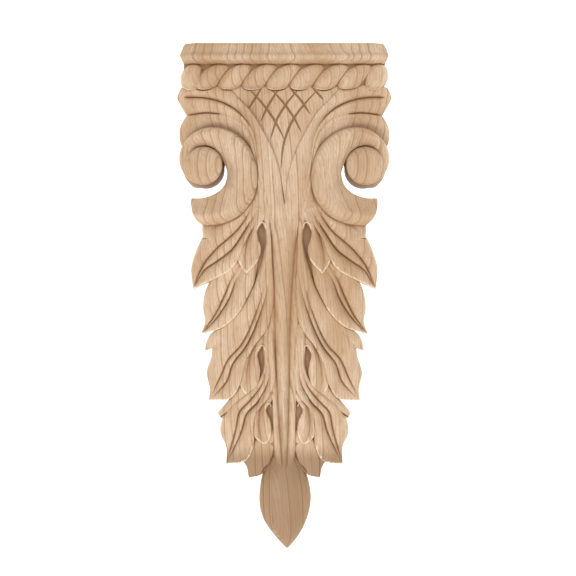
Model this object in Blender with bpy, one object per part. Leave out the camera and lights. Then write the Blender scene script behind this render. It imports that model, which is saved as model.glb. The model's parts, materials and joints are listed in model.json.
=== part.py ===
"""A carved wood drop onlay: a rail and a rope over a cross-cut panel, two curled arms, leaves and a bud.

The carving is drawn lying on its back: X across, Y up the piece and Z out of the board. At the end it is
stood up, with its flat back to +Y and its face to -Y. The origin is on the back, on the stem, at mid height.
"""

import math

import bmesh
import bpy
import numpy as np

# Driving sizes of the whole carving, in metres.
HEIGHT = 0.304
WIDTH = 0.1295
DEPTH = 0.024

# The free forms below are drawn in millimetres for a carving of this size, and follow the sizes above.
DRAWN_HEIGHT = 304.0
DRAWN_WIDTH = 129.5
DRAWN_DEPTH = 24.0

# The moulded rail along the top: its crown is its full depth, and both its edges lie back from the crown.
RAIL_LENGTH = 0.1234
RAIL_HEIGHT = 0.0114
RAIL_TOP_SETBACK = 0.0033
RAIL_BOTTOM_SETBACK = 0.0024
RAIL_CROWN_SHARE = 0.68
RAIL_CORNER = 0.006
# The rail's level sections, as shares of the way down to its crown and from there to its underside.
RAIL_UPPER_STATIONS = (0.0, 0.15, 0.45, 1.0)
RAIL_LOWER_STATIONS = (0.5, 1.0)

# The rope under the rail: strands that lean over each other on a core.
ROPE_LENGTH = 0.1248
ROPE_HEIGHT = 0.0153
ROPE_DEPTH = 0.0215
ROPE_CORE_DEPTH = 0.0125
ROPE_CORE_SETBACK = 0.0024
STRAND_PITCH = 0.0143
STRAND_WIDTH = 0.0186
STRAND_LEAN = 0.72
END_STRAND_LEAN = 0.15
STRAND_FULLNESS = 0.75
STRAND_MIDDLE = 0.0105

# The panel between the arms, and the cuts that cross it.
PANEL_DEPTH = 0.015
CUT_WIDTH = 0.0013
CUT_DEPTH = 0.0011
CUT_TIP_SHARE = 0.35

# The round eye of each scroll: a dome on a foot that spreads out to its base.
EYE_RADIUS = 0.0112
EYE_BASE_RADIUS = 0.0134
EYE_BASE_DEPTH = 0.010
EYE_RIM_DEPTH = 0.0195
EYE_CROWN_DEPTH = 0.0235
EYE_RING_SHARES = (1.0, 0.92, 0.6, 0.25)

# The ground between the leaves, the floor of the hollows beside the stem, and how far each form is sunk
# below the back before the back is planed flat.
GROUND_DEPTH = 0.0075
HOLLOW_DEPTH = 0.0105
SUNK = 0.002

# How fast a form's ribs swell up from its root and die away at its tip. An open end keeps its ribs.
ROOT_SWELL = 4.0
TIP_SWELL = 3.0
OPEN_SWELL = 1000.0

# How finely the curves are cut into flats.
LEAF_STEPS = 12
ARM_STEPS = 16
SCROLL_STEPS = 26
STRIP_COLUMNS = 2
BROAD_COLUMNS = 4
ROUND_SIDES = 20
CORNER_SIDES = 3
STRAND_SIDES = 12
STRAND_RINGS = 8

ACROSS = WIDTH / DRAWN_WIDTH
ALONG = HEIGHT / DRAWN_HEIGHT
OUTWARD = DEPTH / DRAWN_DEPTH


def drawn(points):
    """Points of the drawing, in metres."""
    return np.array(points, float) * (ACROSS, ALONG, OUTWARD)


def curve(points, steps):
    """A smooth curve through the points, read at steps + 1 even places."""
    knots = np.asarray(points, float)
    gaps = np.linalg.norm(np.diff(knots, axis=0), axis=1)[:, None]
    slopes = np.diff(knots, axis=0) / gaps
    inner = (slopes[:-1] * gaps[1:] + slopes[1:] * gaps[:-1]) / (gaps[1:] + gaps[:-1])
    tangents = np.vstack([slopes[:1], inner, slopes[-1:]])
    ends = np.cumsum(gaps)
    places = []
    for way in np.linspace(0.0, ends[-1], steps + 1):
        k = min(int(np.searchsorted(ends, way)), len(gaps) - 1)
        gap = gaps[k, 0]
        t = 1.0 - (ends[k] - way) / gap
        start = knots[k] * (2 * t**3 - 3 * t**2 + 1) + tangents[k] * gap * (t**3 - 2 * t**2 + t)
        end = knots[k + 1] * (3 * t**2 - 2 * t**3) + tangents[k + 1] * gap * (t**3 - t**2)
        places.append(start + end)
    return np.array(places)


def solid(name, rows, closed=False):
    """A closed form from rows of points on its face, carried straight down to below the back.

    A closed form's rows are rings about its last row, which is a single point.
    """
    mesh = bmesh.new()
    grid = [[mesh.verts.new(tuple(point)) for point in row] for row in rows]
    columns = len(grid[0])
    turns = columns if closed else columns - 1
    for first, second in zip(grid[:-1], grid[1:]):
        for c in range(turns):
            following = (c + 1) % columns
            far = (second[0],) if len(second) == 1 else (second[following], second[c])
            mesh.faces.new((first[c], first[following], *far))
    for item in bmesh.ops.extrude_face_region(mesh, geom=mesh.faces[:])["geom"]:
        if isinstance(item, bmesh.types.BMVert):
            item.co.z = -SUNK
    bmesh.ops.remove_doubles(mesh, verts=mesh.verts[:], dist=1e-6)
    bmesh.ops.recalc_face_normals(mesh, faces=mesh.faces[:])
    return place(name, mesh)


def place(name, mesh):
    """Makes an object of a finished mesh and files it with the carved forms."""
    data = bpy.data.meshes.new(name)
    mesh.to_mesh(data)
    mesh.free()
    piece = bpy.data.objects.new(name, data)
    bpy.context.scene.collection.objects.link(piece)
    return piece


def as_helper(piece, parent):
    """Marks an object as one that only shapes another."""
    piece.hide_render = True
    piece.display_type = "WIRE"
    piece.parent = parent
    return piece


def ribbed_rows(rails, crowns, steps, tip_swell=TIP_SWELL, columns=STRIP_COLUMNS):
    """Rows across a form with a rail along each rib's edge. Each strip between rails swells by its crown."""
    lines = [curve(drawn(rail), steps) for rail in rails]
    rows = []
    for k in range(steps + 1):
        swell = min(1.0, ROOT_SWELL * k / steps, tip_swell * (1.0 - k / steps))
        row = []
        for left, right, crown in zip(lines[:-1], lines[1:], crowns):
            for c in range(columns):
                share = c / columns
                point = left[k] * (1 - share) + right[k] * share
                point[2] += crown * OUTWARD * swell * 4 * share * (1 - share)
                row.append(point)
        row.append(lines[-1][k])
        rows.append(row)
    return rows


def mirrored(rows):
    """The same rows on the other side of the stem."""
    return [[(-point[0], point[1], point[2]) for point in row] for row in rows]


def ribbed_pair(name, rails, crowns, steps=LEAF_STEPS, tip_swell=TIP_SWELL):
    """A ribbed form to the left of the stem and its mirror image to the right."""
    rows = ribbed_rows(rails, crowns, steps, tip_swell)
    return [solid(name + "_left", rows), solid(name + "_right", mirrored(rows))]


# Each leaf is a list of rails from its root to its tip: the upper edge, two vein cuts and the lower edge.
# Points are in millimetres: across from the stem, up from the middle of the carving, and out from its back.
LEAVES = {
    "upper_leaf": (
        [
            [(-17, 59.5, 12.5), (-29, 50, 12.5), (-40, 46.5, 11.5), (-47.5, 40.5, 11),
             (-53.5, 29.5, 10.5), (-56.5, 19, 10), (-55.5, 6, 9)],
            [(-17, 58.5, 12.5), (-21.2, 52.5, 13.5), (-26.5, 44, 12.3), (-42.5, 29, 10.5),
             (-48, 22.5, 9.8), (-55.5, 6, 9)],
            [(-15, 57, 12.5), (-18.2, 50.5, 14), (-24.5, 40, 12.8), (-32, 29.5, 11.5), (-40.5, 23, 11),
             (-48.5, 17.5, 10), (-55.5, 6, 9)],
            [(-13.5, 57, 12.5), (-16.3, 47.5, 15.8), (-22.5, 36.5, 16), (-27.5, 24, 15),
             (-32.5, 17.5, 14), (-40.5, 13, 12.5), (-55.5, 6, 9)],
        ],
        (1.8, 1.0, 1.8),
    ),
    "upper_lap": (
        [
            [(-26.5, 54, 11.5), (-40, 51, 11), (-49, 46.5, 10.5), (-49.8, 40.5, 10), (-48.3, 36, 9.5)],
            [(-24.5, 49, 11.5), (-34, 43, 11), (-41.5, 39, 10.8), (-48.3, 36, 9.5)],
        ],
        (0.8,),
    ),
    "second_leaf": (
        [
            [(-23, 28, 10.5), (-37.5, 17.5, 11), (-45, 11, 10.5), (-49, 0.5, 10), (-49.5, -6, 9.5),
             (-48.3, -13, 9.5), (-50.8, -21.5, 9)],
            [(-21, 28, 10.8), (-32, 12, 10.8), (-37, 0.5, 10.2), (-43, -11, 9.6), (-50.8, -21.5, 9)],
            [(-18.5, 28, 11.2), (-28.5, 13, 11.5), (-33.5, 0, 10.8), (-39.5, -9.5, 10.2),
             (-50.8, -21.5, 9)],
            [(-15, 28, 12), (-16.4, 19, 14.2), (-18, 10.5, 15), (-22, 1.5, 14.5), (-27, -7.5, 13.5),
             (-35.5, -16, 12), (-50.8, -21.5, 9)],
        ],
        (1.8, 0.9, 1.8),
    ),
    "third_leaf": (
        [
            [(-14.5, 58, 12.5), (-13, 47, 14.6), (-11, 37, 15), (-12.4, 28, 14.5), (-17, 13, 12.5),
             (-25.5, -2.5, 11), (-36.5, -15, 10), (-43, -26, 9.5), (-44.5, -35, 9.3), (-47.3, -44.5, 9),
             (-45.3, -55, 9), (-46, -61.5, 9)],
            [(-11.5, 58, 12.5), (-10.5, 47, 15.8), (-9.8, 35.5, 16), (-12.2, 8.5, 14.5),
             (-18.3, -11.5, 12.5), (-26, -27.5, 11), (-34, -36.5, 10.3), (-38.5, -46.5, 9.8),
             (-46, -61.5, 9)],
            [(-10.4, 58, 12.5), (-9.3, 47, 15.8), (-8.6, 35.5, 16), (-9.8, 8.5, 15), (-15.2, -11, 13),
             (-23.7, -29.5, 11.5), (-31, -39, 10.8), (-34.5, -49, 10.2), (-46, -61.5, 9)],
            [(-7.5, 58, 12.5), (-6.6, 44.5, 14.5), (-5.2, 24, 14.6), (-4.6, -4, 14.6), (-9, -17, 15.4),
             (-18, -28, 15.5), (-23, -37.5, 14.5), (-26.7, -51.5, 13), (-32, -59.5, 11), (-46, -61.5, 9)],
        ],
        (1.5, 0.9, 1.6),
    ),
    "third_lap": (
        [
            [(-28, -7.5, 10.5), (-37.5, -16, 10), (-45.5, -22, 9.7), (-47.7, -27, 9.3), (-48.5, -31.5, 9)],
            [(-24.5, -13.5, 10.5), (-33, -22, 10), (-39, -27.5, 9.8), (-48.5, -31.5, 9)],
        ],
        (0.8,),
    ),
    "fourth_leaf": (
        [
            [(-11.8, -10, 12), (-13, -24, 14.5), (-12.8, -31, 14.5), (-12.2, -38, 14), (-14.2, -46, 13),
             (-19, -53.5, 12), (-25, -58.5, 11), (-32.3, -64, 10), (-37.7, -72.5, 9.5), (-39, -80.5, 9),
             (-35.4, -89.5, 9), (-35.4, -100, 9)],
            [(-9.8, -10, 12), (-10, -24, 15.4), (-10.4, -36.5, 15), (-13.4, -51, 12.5),
             (-20.7, -61, 11.3), (-27, -68, 10.5), (-29.2, -78, 10), (-35.4, -100, 9)],
            [(-8, -10, 12), (-7.8, -24, 15.4), (-8.3, -36.5, 15.3), (-10.4, -51.5, 13), (-16, -62, 12),
             (-22.5, -69, 11), (-25.6, -79, 10.4), (-35.4, -100, 9)],
            [(-5, -10, 12), (-4, -26, 14.3), (-3.6, -39, 14.2), (-4.4, -51, 14.4), (-9.8, -59.5, 15),
             (-16.4, -67.5, 14.5), (-18.5, -77.5, 13.5), (-18.3, -86.5, 12), (-23.2, -97.5, 10.5),
             (-35.4, -100, 9)],
        ],
        (1.5, 0.9, 1.6),
    ),
    "fourth_lap": (
        [
            [(-24, -48, 10.5), (-30, -56.5, 10), (-36.5, -64.5, 9.5), (-40.5, -69, 9)],
            [(-19, -56, 10.5), (-28, -63.5, 10), (-34, -69, 9.5), (-38, -72.3, 9.3), (-40.5, -69, 9)],
        ],
        (0.8,),
    ),
    "end_petal": (
        [
            [(-13.5, -79, 9), (-20.8, -89, 8.5), (-25, -98, 8), (-22.8, -102.5, 8), (-21.8, -108.5, 8)],
            [(-5, -79, 11), (-6.3, -91, 10), (-9.9, -101, 9.5), (-13.5, -106, 9), (-21.8, -108.5, 8)],
        ],
        (1.2,),
    ),
}

# Each inner lobe is hollowed. Its rails are its border with the leaf, its low line, its ridge and its
# inner edge.
LOBES = {
    "upper_lobe": [
        [(-18.5, 52, 13), (-21.8, 42.7, 13.6), (-24.8, 35.6, 13), (-26.6, 29.6, 12.4),
         (-27.8, 23.9, 11.8), (-25.6, 19, 11.4), (-22.7, 15.5, 11)],
        [(-17.6, 51.6, 13), (-20.6, 41, 12.8), (-23, 32, 12), (-24, 24.8, 11.6), (-22.7, 15.5, 11)],
        [(-15.6, 51, 13), (-17.9, 41, 15.2), (-19.2, 32, 14.8), (-19.8, 24.8, 13.8), (-22.7, 15.5, 11)],
        [(-12.5, 51, 13), (-14.4, 46, 14.6), (-16.3, 40.5, 14.6), (-15.8, 36.8, 14.4), (-14, 30.8, 14),
         (-14.6, 26, 13.2), (-17.6, 20.6, 12), (-22.7, 15.5, 11)],
    ],
    "third_lobe": [
        [(-17, -21, 13), (-20.4, -26.5, 13.6), (-22.9, -33, 13.2), (-24.4, -40, 12.6),
         (-25.4, -47.1, 12), (-26.6, -51.5, 11.6), (-24.4, -56.2, 11.2), (-21.8, -59.1, 11)],
        [(-15.6, -21, 13), (-20.6, -33.9, 12.8), (-22.4, -41.1, 12.2), (-23, -48.3, 11.8),
         (-21.8, -59.1, 11)],
        [(-13.8, -21, 13), (-17.8, -33.9, 15), (-18.4, -41.1, 14.6), (-19, -48.3, 13.6),
         (-21.8, -59.1, 11)],
        [(-11.4, -21, 13), (-13.8, -27.6, 14.4), (-16.1, -33, 14.4), (-15.2, -38.1, 14.2),
         (-14.4, -42.5, 13.8), (-15.6, -49.5, 13.2), (-18.4, -55.2, 12), (-21.8, -59.1, 11)],
    ],
    "fourth_lobe": [
        [(-11, -54, 12.6), (-14.8, -60.5, 13.2), (-17.4, -68, 12.8), (-18.2, -75.2, 12.2),
         (-18.4, -82, 11.5), (-15.6, -85.6, 11), (-11.6, -88.1, 10.6)],
        [(-9.4, -54, 12.6), (-14.4, -66, 12.2), (-15.6, -75.2, 11.6), (-14.8, -82, 11.1),
         (-11.6, -88.1, 10.6)],
        [(-7.8, -54, 12.6), (-12.4, -66, 14.2), (-12, -75.2, 14), (-11.2, -82, 12.8), (-11.6, -88.1, 10.6)],
        [(-5.6, -54, 12.6), (-9.4, -60.5, 14), (-10.9, -66.5, 13.8), (-8.6, -72.5, 13.6),
         (-7.7, -77.5, 13.2), (-8.8, -84, 12), (-11.6, -88.1, 10.6)],
    ],
}
LOBE_CROWNS = (-0.2, 0.2, 0.4)

# The arm and the ribs under it, from the trunk out to the side: the inner edge, two cuts, a crest and a cove.
ARM = [
    [(4, 26, 12.5), (3.2, 44, 15.8), (1, 60, 17), (-2, 76, 18.3), (-7.3, 90, 18.5),
     (-13.3, 101.5, 18.5), (-20.4, 112.7, 18.5), (-26.4, 119, 18.5), (-33.5, 126.5, 18),
     (-46.7, 129, 17), (-61.8, 127.5, 16)],
    [(-5.6, 26, 12), (-7.4, 44, 14.4), (-10.4, 59.5, 15.4), (-13.4, 71.5, 15.3), (-15.8, 84.5, 15),
     (-20, 103, 15), (-26.5, 111.5, 15), (-35.5, 117.5, 15), (-47.6, 121, 14.5), (-56.5, 121.4, 14.5),
     (-64.7, 121, 14)],
    [(-7.6, 33, 12), (-8.8, 44, 13.4), (-12.2, 59.5, 15.5), (-15.2, 71.5, 14.8), (-17, 84.5, 14.5),
     (-21.8, 101, 14), (-27.8, 107.5, 14), (-35, 110.5, 14), (-44.6, 112, 13.5), (-58.9, 111, 12.5)],
    [(-9, 38, 12), (-10.6, 46, 13), (-14.4, 58.5, 15), (-17, 71.5, 14.2), (-18.8, 84.5, 14),
     (-23, 97.5, 14), (-28.4, 104.5, 14), (-35.6, 108, 14), (-45.8, 108.8, 14), (-54.3, 106.5, 13.5),
     (-63.4, 100, 12.5)],
    [(-10.4, 42, 12), (-12.4, 48, 12.5), (-17.6, 57.5, 13), (-19.4, 73, 12), (-21.2, 85.5, 11.5),
     (-25.6, 94.5, 11.5), (-32, 100.8, 11.5), (-40, 103.3, 11.5), (-50.9, 101.4, 11.5), (-61.8, 92, 11)],
]
ARM_CROWNS = (1.2, 1.4, 0.8, 0.0)

# The trunk: a rib up the middle between two long cuts, and a narrow rib outside each cut.
TRUNK = [
    [(-14, 68, 10), (-12, 44, 13), (-10, 20, 13.5), (-8.8, -12, 13.5), (-7.8, -45, 13.5),
     (-6.8, -75, 13), (-5.2, -95, 12), (-3.5, -105, 11)],
    [(-12, 68, 11), (-10, 56, 13.3), (-8.5, 44.5, 14.3), (-7.1, 22.5, 14.5), (-5.9, -12.5, 14.5),
     (-5, -42.5, 14), (-3.2, -72.5, 13.5), (-1.1, -105, 13)],
    [(12, 68, 11), (10, 56, 13.3), (8, 41, 14.3), (5.5, 17.5, 14.5), (3.7, -12.5, 14.5),
     (3.1, -42.5, 14), (2.5, -72.5, 13.5), (1.6, -106, 13)],
    [(14, 68, 10), (12, 44, 13), (10, 20, 13.5), (8.8, -12, 13.5), (7.8, -45, 13.5), (6.8, -75, 13),
     (5.6, -95, 12), (4.3, -106, 11)],
]
TRUNK_CROWNS = (0.8, 3.0, 0.8)

# The bud at the foot.
BUD = [
    [(-6.9, -95, 9), (-10.5, -101, 9), (-13.5, -107.7, 9), (-15.1, -116.8, 9), (-14.8, -126.5, 9),
     (-12.3, -134.3, 9), (-6.9, -142.4, 8.5), (1.6, -152, 8)],
    [(7.7, -96, 9), (11.3, -102, 9), (14.6, -110.7, 9), (16.1, -119.2, 9), (14.9, -129, 9),
     (11.9, -137.4, 9), (7.7, -144.8, 8.5), (1.6, -152, 8)],
]
BUD_CROWN = 5.2

# The scroll is drawn about its eye. At each angle, in degrees from the +X side, it has two edges.
EYE_PLACE = (-48.3, 79.3)
SCROLL_OUTER = [(-108, 35.0), (-90, 35.3), (-45, 36.3), (0, 32.0), (45, 27.7), (90, 23.1), (135, 17.7),
                (180, 13.5), (225, 11.4)]
SCROLL_INNER = [(-110, 19.9), (-87, 18.4), (-64, 17.4), (-45, 16.6), (-23, 14.7), (-11, 13.5),
                (7, 12.6), (45, 12.4), (90, 12.6), (135, 11.0), (160, 8.4), (225, 5.0)]
SCROLL_TAIL = [(0.0, -90.0), (0.25, -99.0), (0.6, -107.0), (1.0, -111.0)]
SCROLL_HEAD = 225.0
# Its height at shares of the way in from its outer edge, where it is open and where it turns over the eye.
BAND_SHARES = (0.0, 0.08, 0.28, 0.5, 0.75, 1.0)
OPEN_BAND = (15.5, 18.3, 20.5, 18.2, 14.6, 12.4)
TURNED_BAND = (15.5, 18.3, 20.5, 20.2, 19.0, 17.2)
TURN_START = 0.0
TURN_END = 50.0
HEAD_START = 110.0
HEAD_END = 165.0

# The panel's outline under the rope and the arms, and the cuts that cross it.
PANEL = [(-39, 129), (39, 129), (20.5, 112), (9.5, 94), (3.5, 74), (1, 59.5), (-2, 74), (-9, 92),
         (-21, 112)]
PANEL_CUTS = [
    [(-13.5, 127), (-21.5, 114)],
    [(-3.5, 126), (-9.8, 115.8), (-14.2, 106.5)],
    [(8.5, 126), (0.4, 116), (-4.4, 108), (-8.4, 95.5)],
    [(20.5, 126), (11.5, 116.4), (6.1, 109.2), (1.9, 100.8), (-0.8, 91.2), (-2, 78.5)],
    [(-21, 126), (-11.6, 115.5), (-5.6, 106.8), (0.2, 95.5)],
    [(-8.5, 126.5), (0.1, 117), (6.2, 108), (10.2, 100)],
    [(3, 127), (9.4, 120), (15.6, 110.8)],
    [(16.5, 127.5), (23.5, 119.5)],
    [(1.3, 91.2), (4.2, 84.8)],
]

# The edges of the ground and of the hollows' floor left of the stem, inside the leaves.
GROUND_EDGE = [(-8, 80), (-17, 68), (-25, 50), (-33, 22), (-43, 6), (-43, -13), (-36, -25), (-39, -43),
               (-37, -55), (-26, -61), (-33, -76), (-31, -94), (-20, -103), (0, -106)]
HOLLOW_EDGE = [(-10, 62), (-20, 50), (-20, 32), (-16, 10), (-16, -20), (-20, -32), (-19, -46),
               (-14, -58), (-15, -72), (-10, -86), (0, -95)]


def across_at(table, value):
    """Reads a table of pairs at a value between them."""
    return float(np.interp(value, [pair[0] for pair in table], [pair[1] for pair in table]))


def passed(value, start, end):
    """How much of the way from start to end a value has gone, from 0 to 1."""
    return max(0.0, min(1.0, (value - start) / (end - start)))


def eye_depth(share):
    """The depth of the eye's dome at a share of its radius."""
    rise = math.sqrt(max(0.0, 1 - share**2))
    return EYE_RIM_DEPTH + (EYE_CROWN_DEPTH - EYE_RIM_DEPTH) * rise


def scroll_pair():
    """The band of each scroll, from its open tail round to where it runs into the eye."""
    rows = []
    for step in range(SCROLL_STEPS + 1):
        way = step / SCROLL_STEPS
        row = []
        for share, open_height, turned_height in zip(BAND_SHARES, OPEN_BAND, TURNED_BAND):
            start = across_at(SCROLL_TAIL, share)
            angle = start + (SCROLL_HEAD - start) * way
            outer = across_at(SCROLL_OUTER, angle)
            inner = across_at(SCROLL_INNER, angle)
            radius = outer + (inner - outer) * share
            height = open_height + (turned_height - open_height) * passed(angle, TURN_START, TURN_END)
            into_eye = passed(angle, HEAD_START, HEAD_END)
            depth = height * (1 - into_eye) + eye_depth(radius / outer) / OUTWARD * into_eye
            turn = math.radians(angle)
            x = EYE_PLACE[0] + radius * math.cos(turn)
            y = EYE_PLACE[1] + radius * math.sin(turn)
            row.append((x * ACROSS, y * ALONG, depth * OUTWARD))
        rows.append(row)
    return [solid("scroll_left", rows), solid("scroll_right", mirrored(rows))]


def eye_pair():
    """The domed eye in the middle of each scroll, on its foot."""
    centre = drawn([(*EYE_PLACE, 0)])[0]
    levels = [(EYE_BASE_RADIUS, EYE_BASE_DEPTH)]
    levels += [(EYE_RADIUS * share, eye_depth(share)) for share in EYE_RING_SHARES]
    rings = []
    for radius, depth in levels:
        ring = []
        for side in range(ROUND_SIDES):
            turn = 2 * math.pi * side / ROUND_SIDES
            ring.append((centre[0] + radius * math.cos(turn), centre[1] + radius * math.sin(turn), depth))
        rings.append(ring)
    rings.append([(centre[0], centre[1], EYE_CROWN_DEPTH)])
    return [solid("eye_left", rings, closed=True), solid("eye_right", mirrored(rings), closed=True)]


def rail_top():
    """The height of the rail's top edge."""
    return HEIGHT / 2


def rope_middle():
    """The height of the rope's middle line."""
    return rail_top() - RAIL_HEIGHT - ROPE_HEIGHT / 2


def rail():
    """The rail, as level sections through a rounded bar whose ends turn back with the same profile."""
    crown_height = rail_top() - RAIL_HEIGHT * RAIL_CROWN_SHARE
    stations = []
    for share in RAIL_UPPER_STATIONS:
        height = rail_top() - (rail_top() - crown_height) * share
        stations.append((height, RAIL_TOP_SETBACK * (1 - share) ** 2))
    for share in RAIL_LOWER_STATIONS:
        height = crown_height - (RAIL_HEIGHT * (1 - RAIL_CROWN_SHARE) + SUNK / 2) * share
        stations.append((height, RAIL_BOTTOM_SETBACK * share**2))
    mesh = bmesh.new()
    rings = []
    for height, setback in stations:
        half = RAIL_LENGTH / 2 - setback
        front = DEPTH - setback
        corner = []
        for k in range(CORNER_SIDES + 1):
            turn = math.pi / 2 * k / CORNER_SIDES
            x = half - RAIL_CORNER * (1 - math.cos(turn))
            z = front - RAIL_CORNER / 2 * (1 - math.sin(turn))
            corner.append((x, z))
        outline = [(-half, -SUNK), (half, -SUNK), *corner, *((-x, z) for x, z in reversed(corner))]
        rings.append([mesh.verts.new((x, height, z)) for x, z in outline])
    for first, second in zip(rings[:-1], rings[1:]):
        for k in range(len(first)):
            mesh.faces.new((first[k], first[k - 1], second[k - 1], second[k]))
    mesh.faces.new(rings[0])
    mesh.faces.new(rings[-1])
    bmesh.ops.recalc_face_normals(mesh, faces=mesh.faces[:])
    return place("rail", mesh)


def block(name, half_length, bottom, top, depth):
    """A plain block from below the back up to a depth."""
    rows = [[(-half_length, height, depth), (half_length, height, depth)] for height in (bottom, top)]
    return solid(name, rows)


def strand(number, middle, half_width, lean):
    """One strand of the rope: a full, rounded lens that leans towards the right as it rises."""
    mesh = bmesh.new()
    bmesh.ops.create_uvsphere(mesh, u_segments=STRAND_SIDES, v_segments=STRAND_RINGS, radius=1.0)
    rise = ROPE_HEIGHT / 2
    depth = ROPE_DEPTH - STRAND_MIDDLE
    for vert in mesh.verts:
        x, y, z = (math.copysign(abs(value) ** STRAND_FULLNESS, value) for value in vert.co)
        across = middle + x * half_width + y * rise * lean
        vert.co = (across, rope_middle() + y * rise, STRAND_MIDDLE + z * depth)
    return place("strand_%d" % number, mesh)


def rope():
    """The rope: a core, whole strands along it and a shorter, more upright one at each end."""
    half = ROPE_LENGTH / 2
    core_bottom = rope_middle() - ROPE_HEIGHT / 2 - SUNK
    core_top = rail_top() - RAIL_HEIGHT / 2
    pieces = [block("rope_core", half - ROPE_CORE_SETBACK, core_bottom, core_top, ROPE_CORE_DEPTH)]
    each_side = int(half / STRAND_PITCH)
    for k in range(-each_side, each_side + 1):
        whole = abs(k) < each_side
        middle = k * STRAND_PITCH
        half_width = STRAND_WIDTH / 2
        if not whole:
            half_width = (half - abs(middle) + half_width) / 2
            middle = math.copysign(half - half_width, middle)
        pieces.append(strand(k + each_side, middle, half_width, STRAND_LEAN if whole else END_STRAND_LEAN))
    return pieces


def both_sides(edge):
    """The outline that an edge left of the stem makes with its mirror image, in metres."""
    outline = edge + [(-x, y) for x, y in reversed(edge) if x]
    return [(x * ACROSS, y * ALONG) for x, y in outline]


def flat_form(name, outline, depth):
    """A flat-topped form of any outline."""
    mesh = bmesh.new()
    verts = [mesh.verts.new((x, y, depth)) for x, y in outline]
    face = mesh.faces.new(verts)
    for item in bmesh.ops.extrude_face_region(mesh, geom=[face])["geom"]:
        if isinstance(item, bmesh.types.BMVert):
            item.co.z = -SUNK
    bmesh.ops.recalc_face_normals(mesh, faces=mesh.faces[:])
    return place(name, mesh)


def panel_cut(number, points):
    """The wedge that leaves one V-shaped cut in the panel, running out at both ends.

    It stands as far out of the panel as it goes in, so at its top it is twice as wide as the cut.
    """
    line = curve(drawn([(x, y, 0) for x, y in points]), 2 * len(points) - 2)
    mesh = bmesh.new()
    rings = []
    for k, middle in enumerate(line):
        ahead = line[min(k + 1, len(line) - 1)] - line[max(k - 1, 0)]
        side = np.array((-ahead[1], ahead[0])) / math.hypot(ahead[0], ahead[1])
        fade = CUT_TIP_SHARE if k in (0, len(line) - 1) else 1.0
        reach = side * CUT_WIDTH * fade
        top = PANEL_DEPTH + CUT_DEPTH * fade
        corners = [(middle[:2] - reach, top), (middle[:2] + reach, top),
        (middle[:2], PANEL_DEPTH - CUT_DEPTH * fade)]
        rings.append([mesh.verts.new((*place_on, height)) for place_on, height in corners])
    for first, second in zip(rings[:-1], rings[1:]):
        for k in range(3):
            mesh.faces.new((first[k], first[k - 1], second[k - 1], second[k]))
    mesh.faces.new(rings[0])
    mesh.faces.new(rings[-1])
    bmesh.ops.recalc_face_normals(mesh, faces=mesh.faces[:])
    return place("panel_cut_%d" % number, mesh)


def group(name, pieces, parent):
    """A collection of helper objects."""
    gathered = bpy.data.collections.new(name)
    for piece in pieces:
        bpy.context.scene.collection.objects.unlink(piece)
        gathered.objects.link(as_helper(piece, parent))
    bpy.context.scene.collection.children.link(gathered)
    return gathered


def boolean(piece, name, operation, collection):
    """A Boolean that stays on the piece and works with every object of a collection."""
    modifier = piece.modifiers.new(name, "BOOLEAN")
    modifier.operation = operation
    modifier.operand_type = "COLLECTION"
    modifier.collection = collection
    modifier.solver = "EXACT"


def wood():
    """Pale hardwood, sanded and left bare."""
    material = bpy.data.materials.new("bare maple")
    material.use_nodes = True
    shader = material.node_tree.nodes["Principled BSDF"]
    shader.inputs["Base Color"].default_value = (0.56, 0.38, 0.235, 1.0)
    shader.inputs["Roughness"].default_value = 0.62
    shader.inputs["Metallic"].default_value = 0.0
    return material


for old in list(bpy.data.objects):
    bpy.data.objects.remove(old, do_unlink=True)

bench = bpy.data.objects.new("bench", None)
bench.rotation_euler.x = math.pi / 2
bpy.context.scene.collection.objects.link(bench)

# The panel is cut before the arms cover its edges.
panel = flat_form("panel", [(x * ACROSS, y * ALONG) for x, y in PANEL], PANEL_DEPTH)
cuts = group("panel cuts", [panel_cut(k, points) for k, points in enumerate(PANEL_CUTS)], bench)
boolean(panel, "cuts", "DIFFERENCE", cuts)

forms = [panel, rail(), *rope(), *scroll_pair(), *eye_pair()]
for name, (rails, crowns) in LEAVES.items():
    forms += ribbed_pair(name, rails, crowns)
for name, rails in LOBES.items():
    forms += ribbed_pair(name, rails, LOBE_CROWNS)
forms += ribbed_pair("arm", ARM, ARM_CROWNS, ARM_STEPS, OPEN_SWELL)
forms.append(solid("trunk", ribbed_rows(TRUNK, TRUNK_CROWNS, ARM_STEPS, OPEN_SWELL)))
forms.append(solid("bud", ribbed_rows(BUD, (BUD_CROWN,), ARM_STEPS, columns=BROAD_COLUMNS)))

# The carving starts as its ground, and every other form is joined to it before the back is planed flat.
forms.append(flat_form("hollow_floor", both_sides(HOLLOW_EDGE), HOLLOW_DEPTH))
drop = flat_form("acanthus_drop", both_sides(GROUND_EDGE), GROUND_DEPTH)
drop.parent = bench
boolean(drop, "join the forms", "UNION", group("carved forms", forms, bench))
below = block("below_the_back", WIDTH, -HEIGHT, HEIGHT, 0.0)
for vert in below.data.vertices:
    if vert.co.z < -SUNK / 2:
        vert.co.z = -DEPTH
boolean(drop, "plane the back", "DIFFERENCE", group("plane", [below], bench))
drop.data.materials.append(wood())
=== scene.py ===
import json
import math

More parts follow.
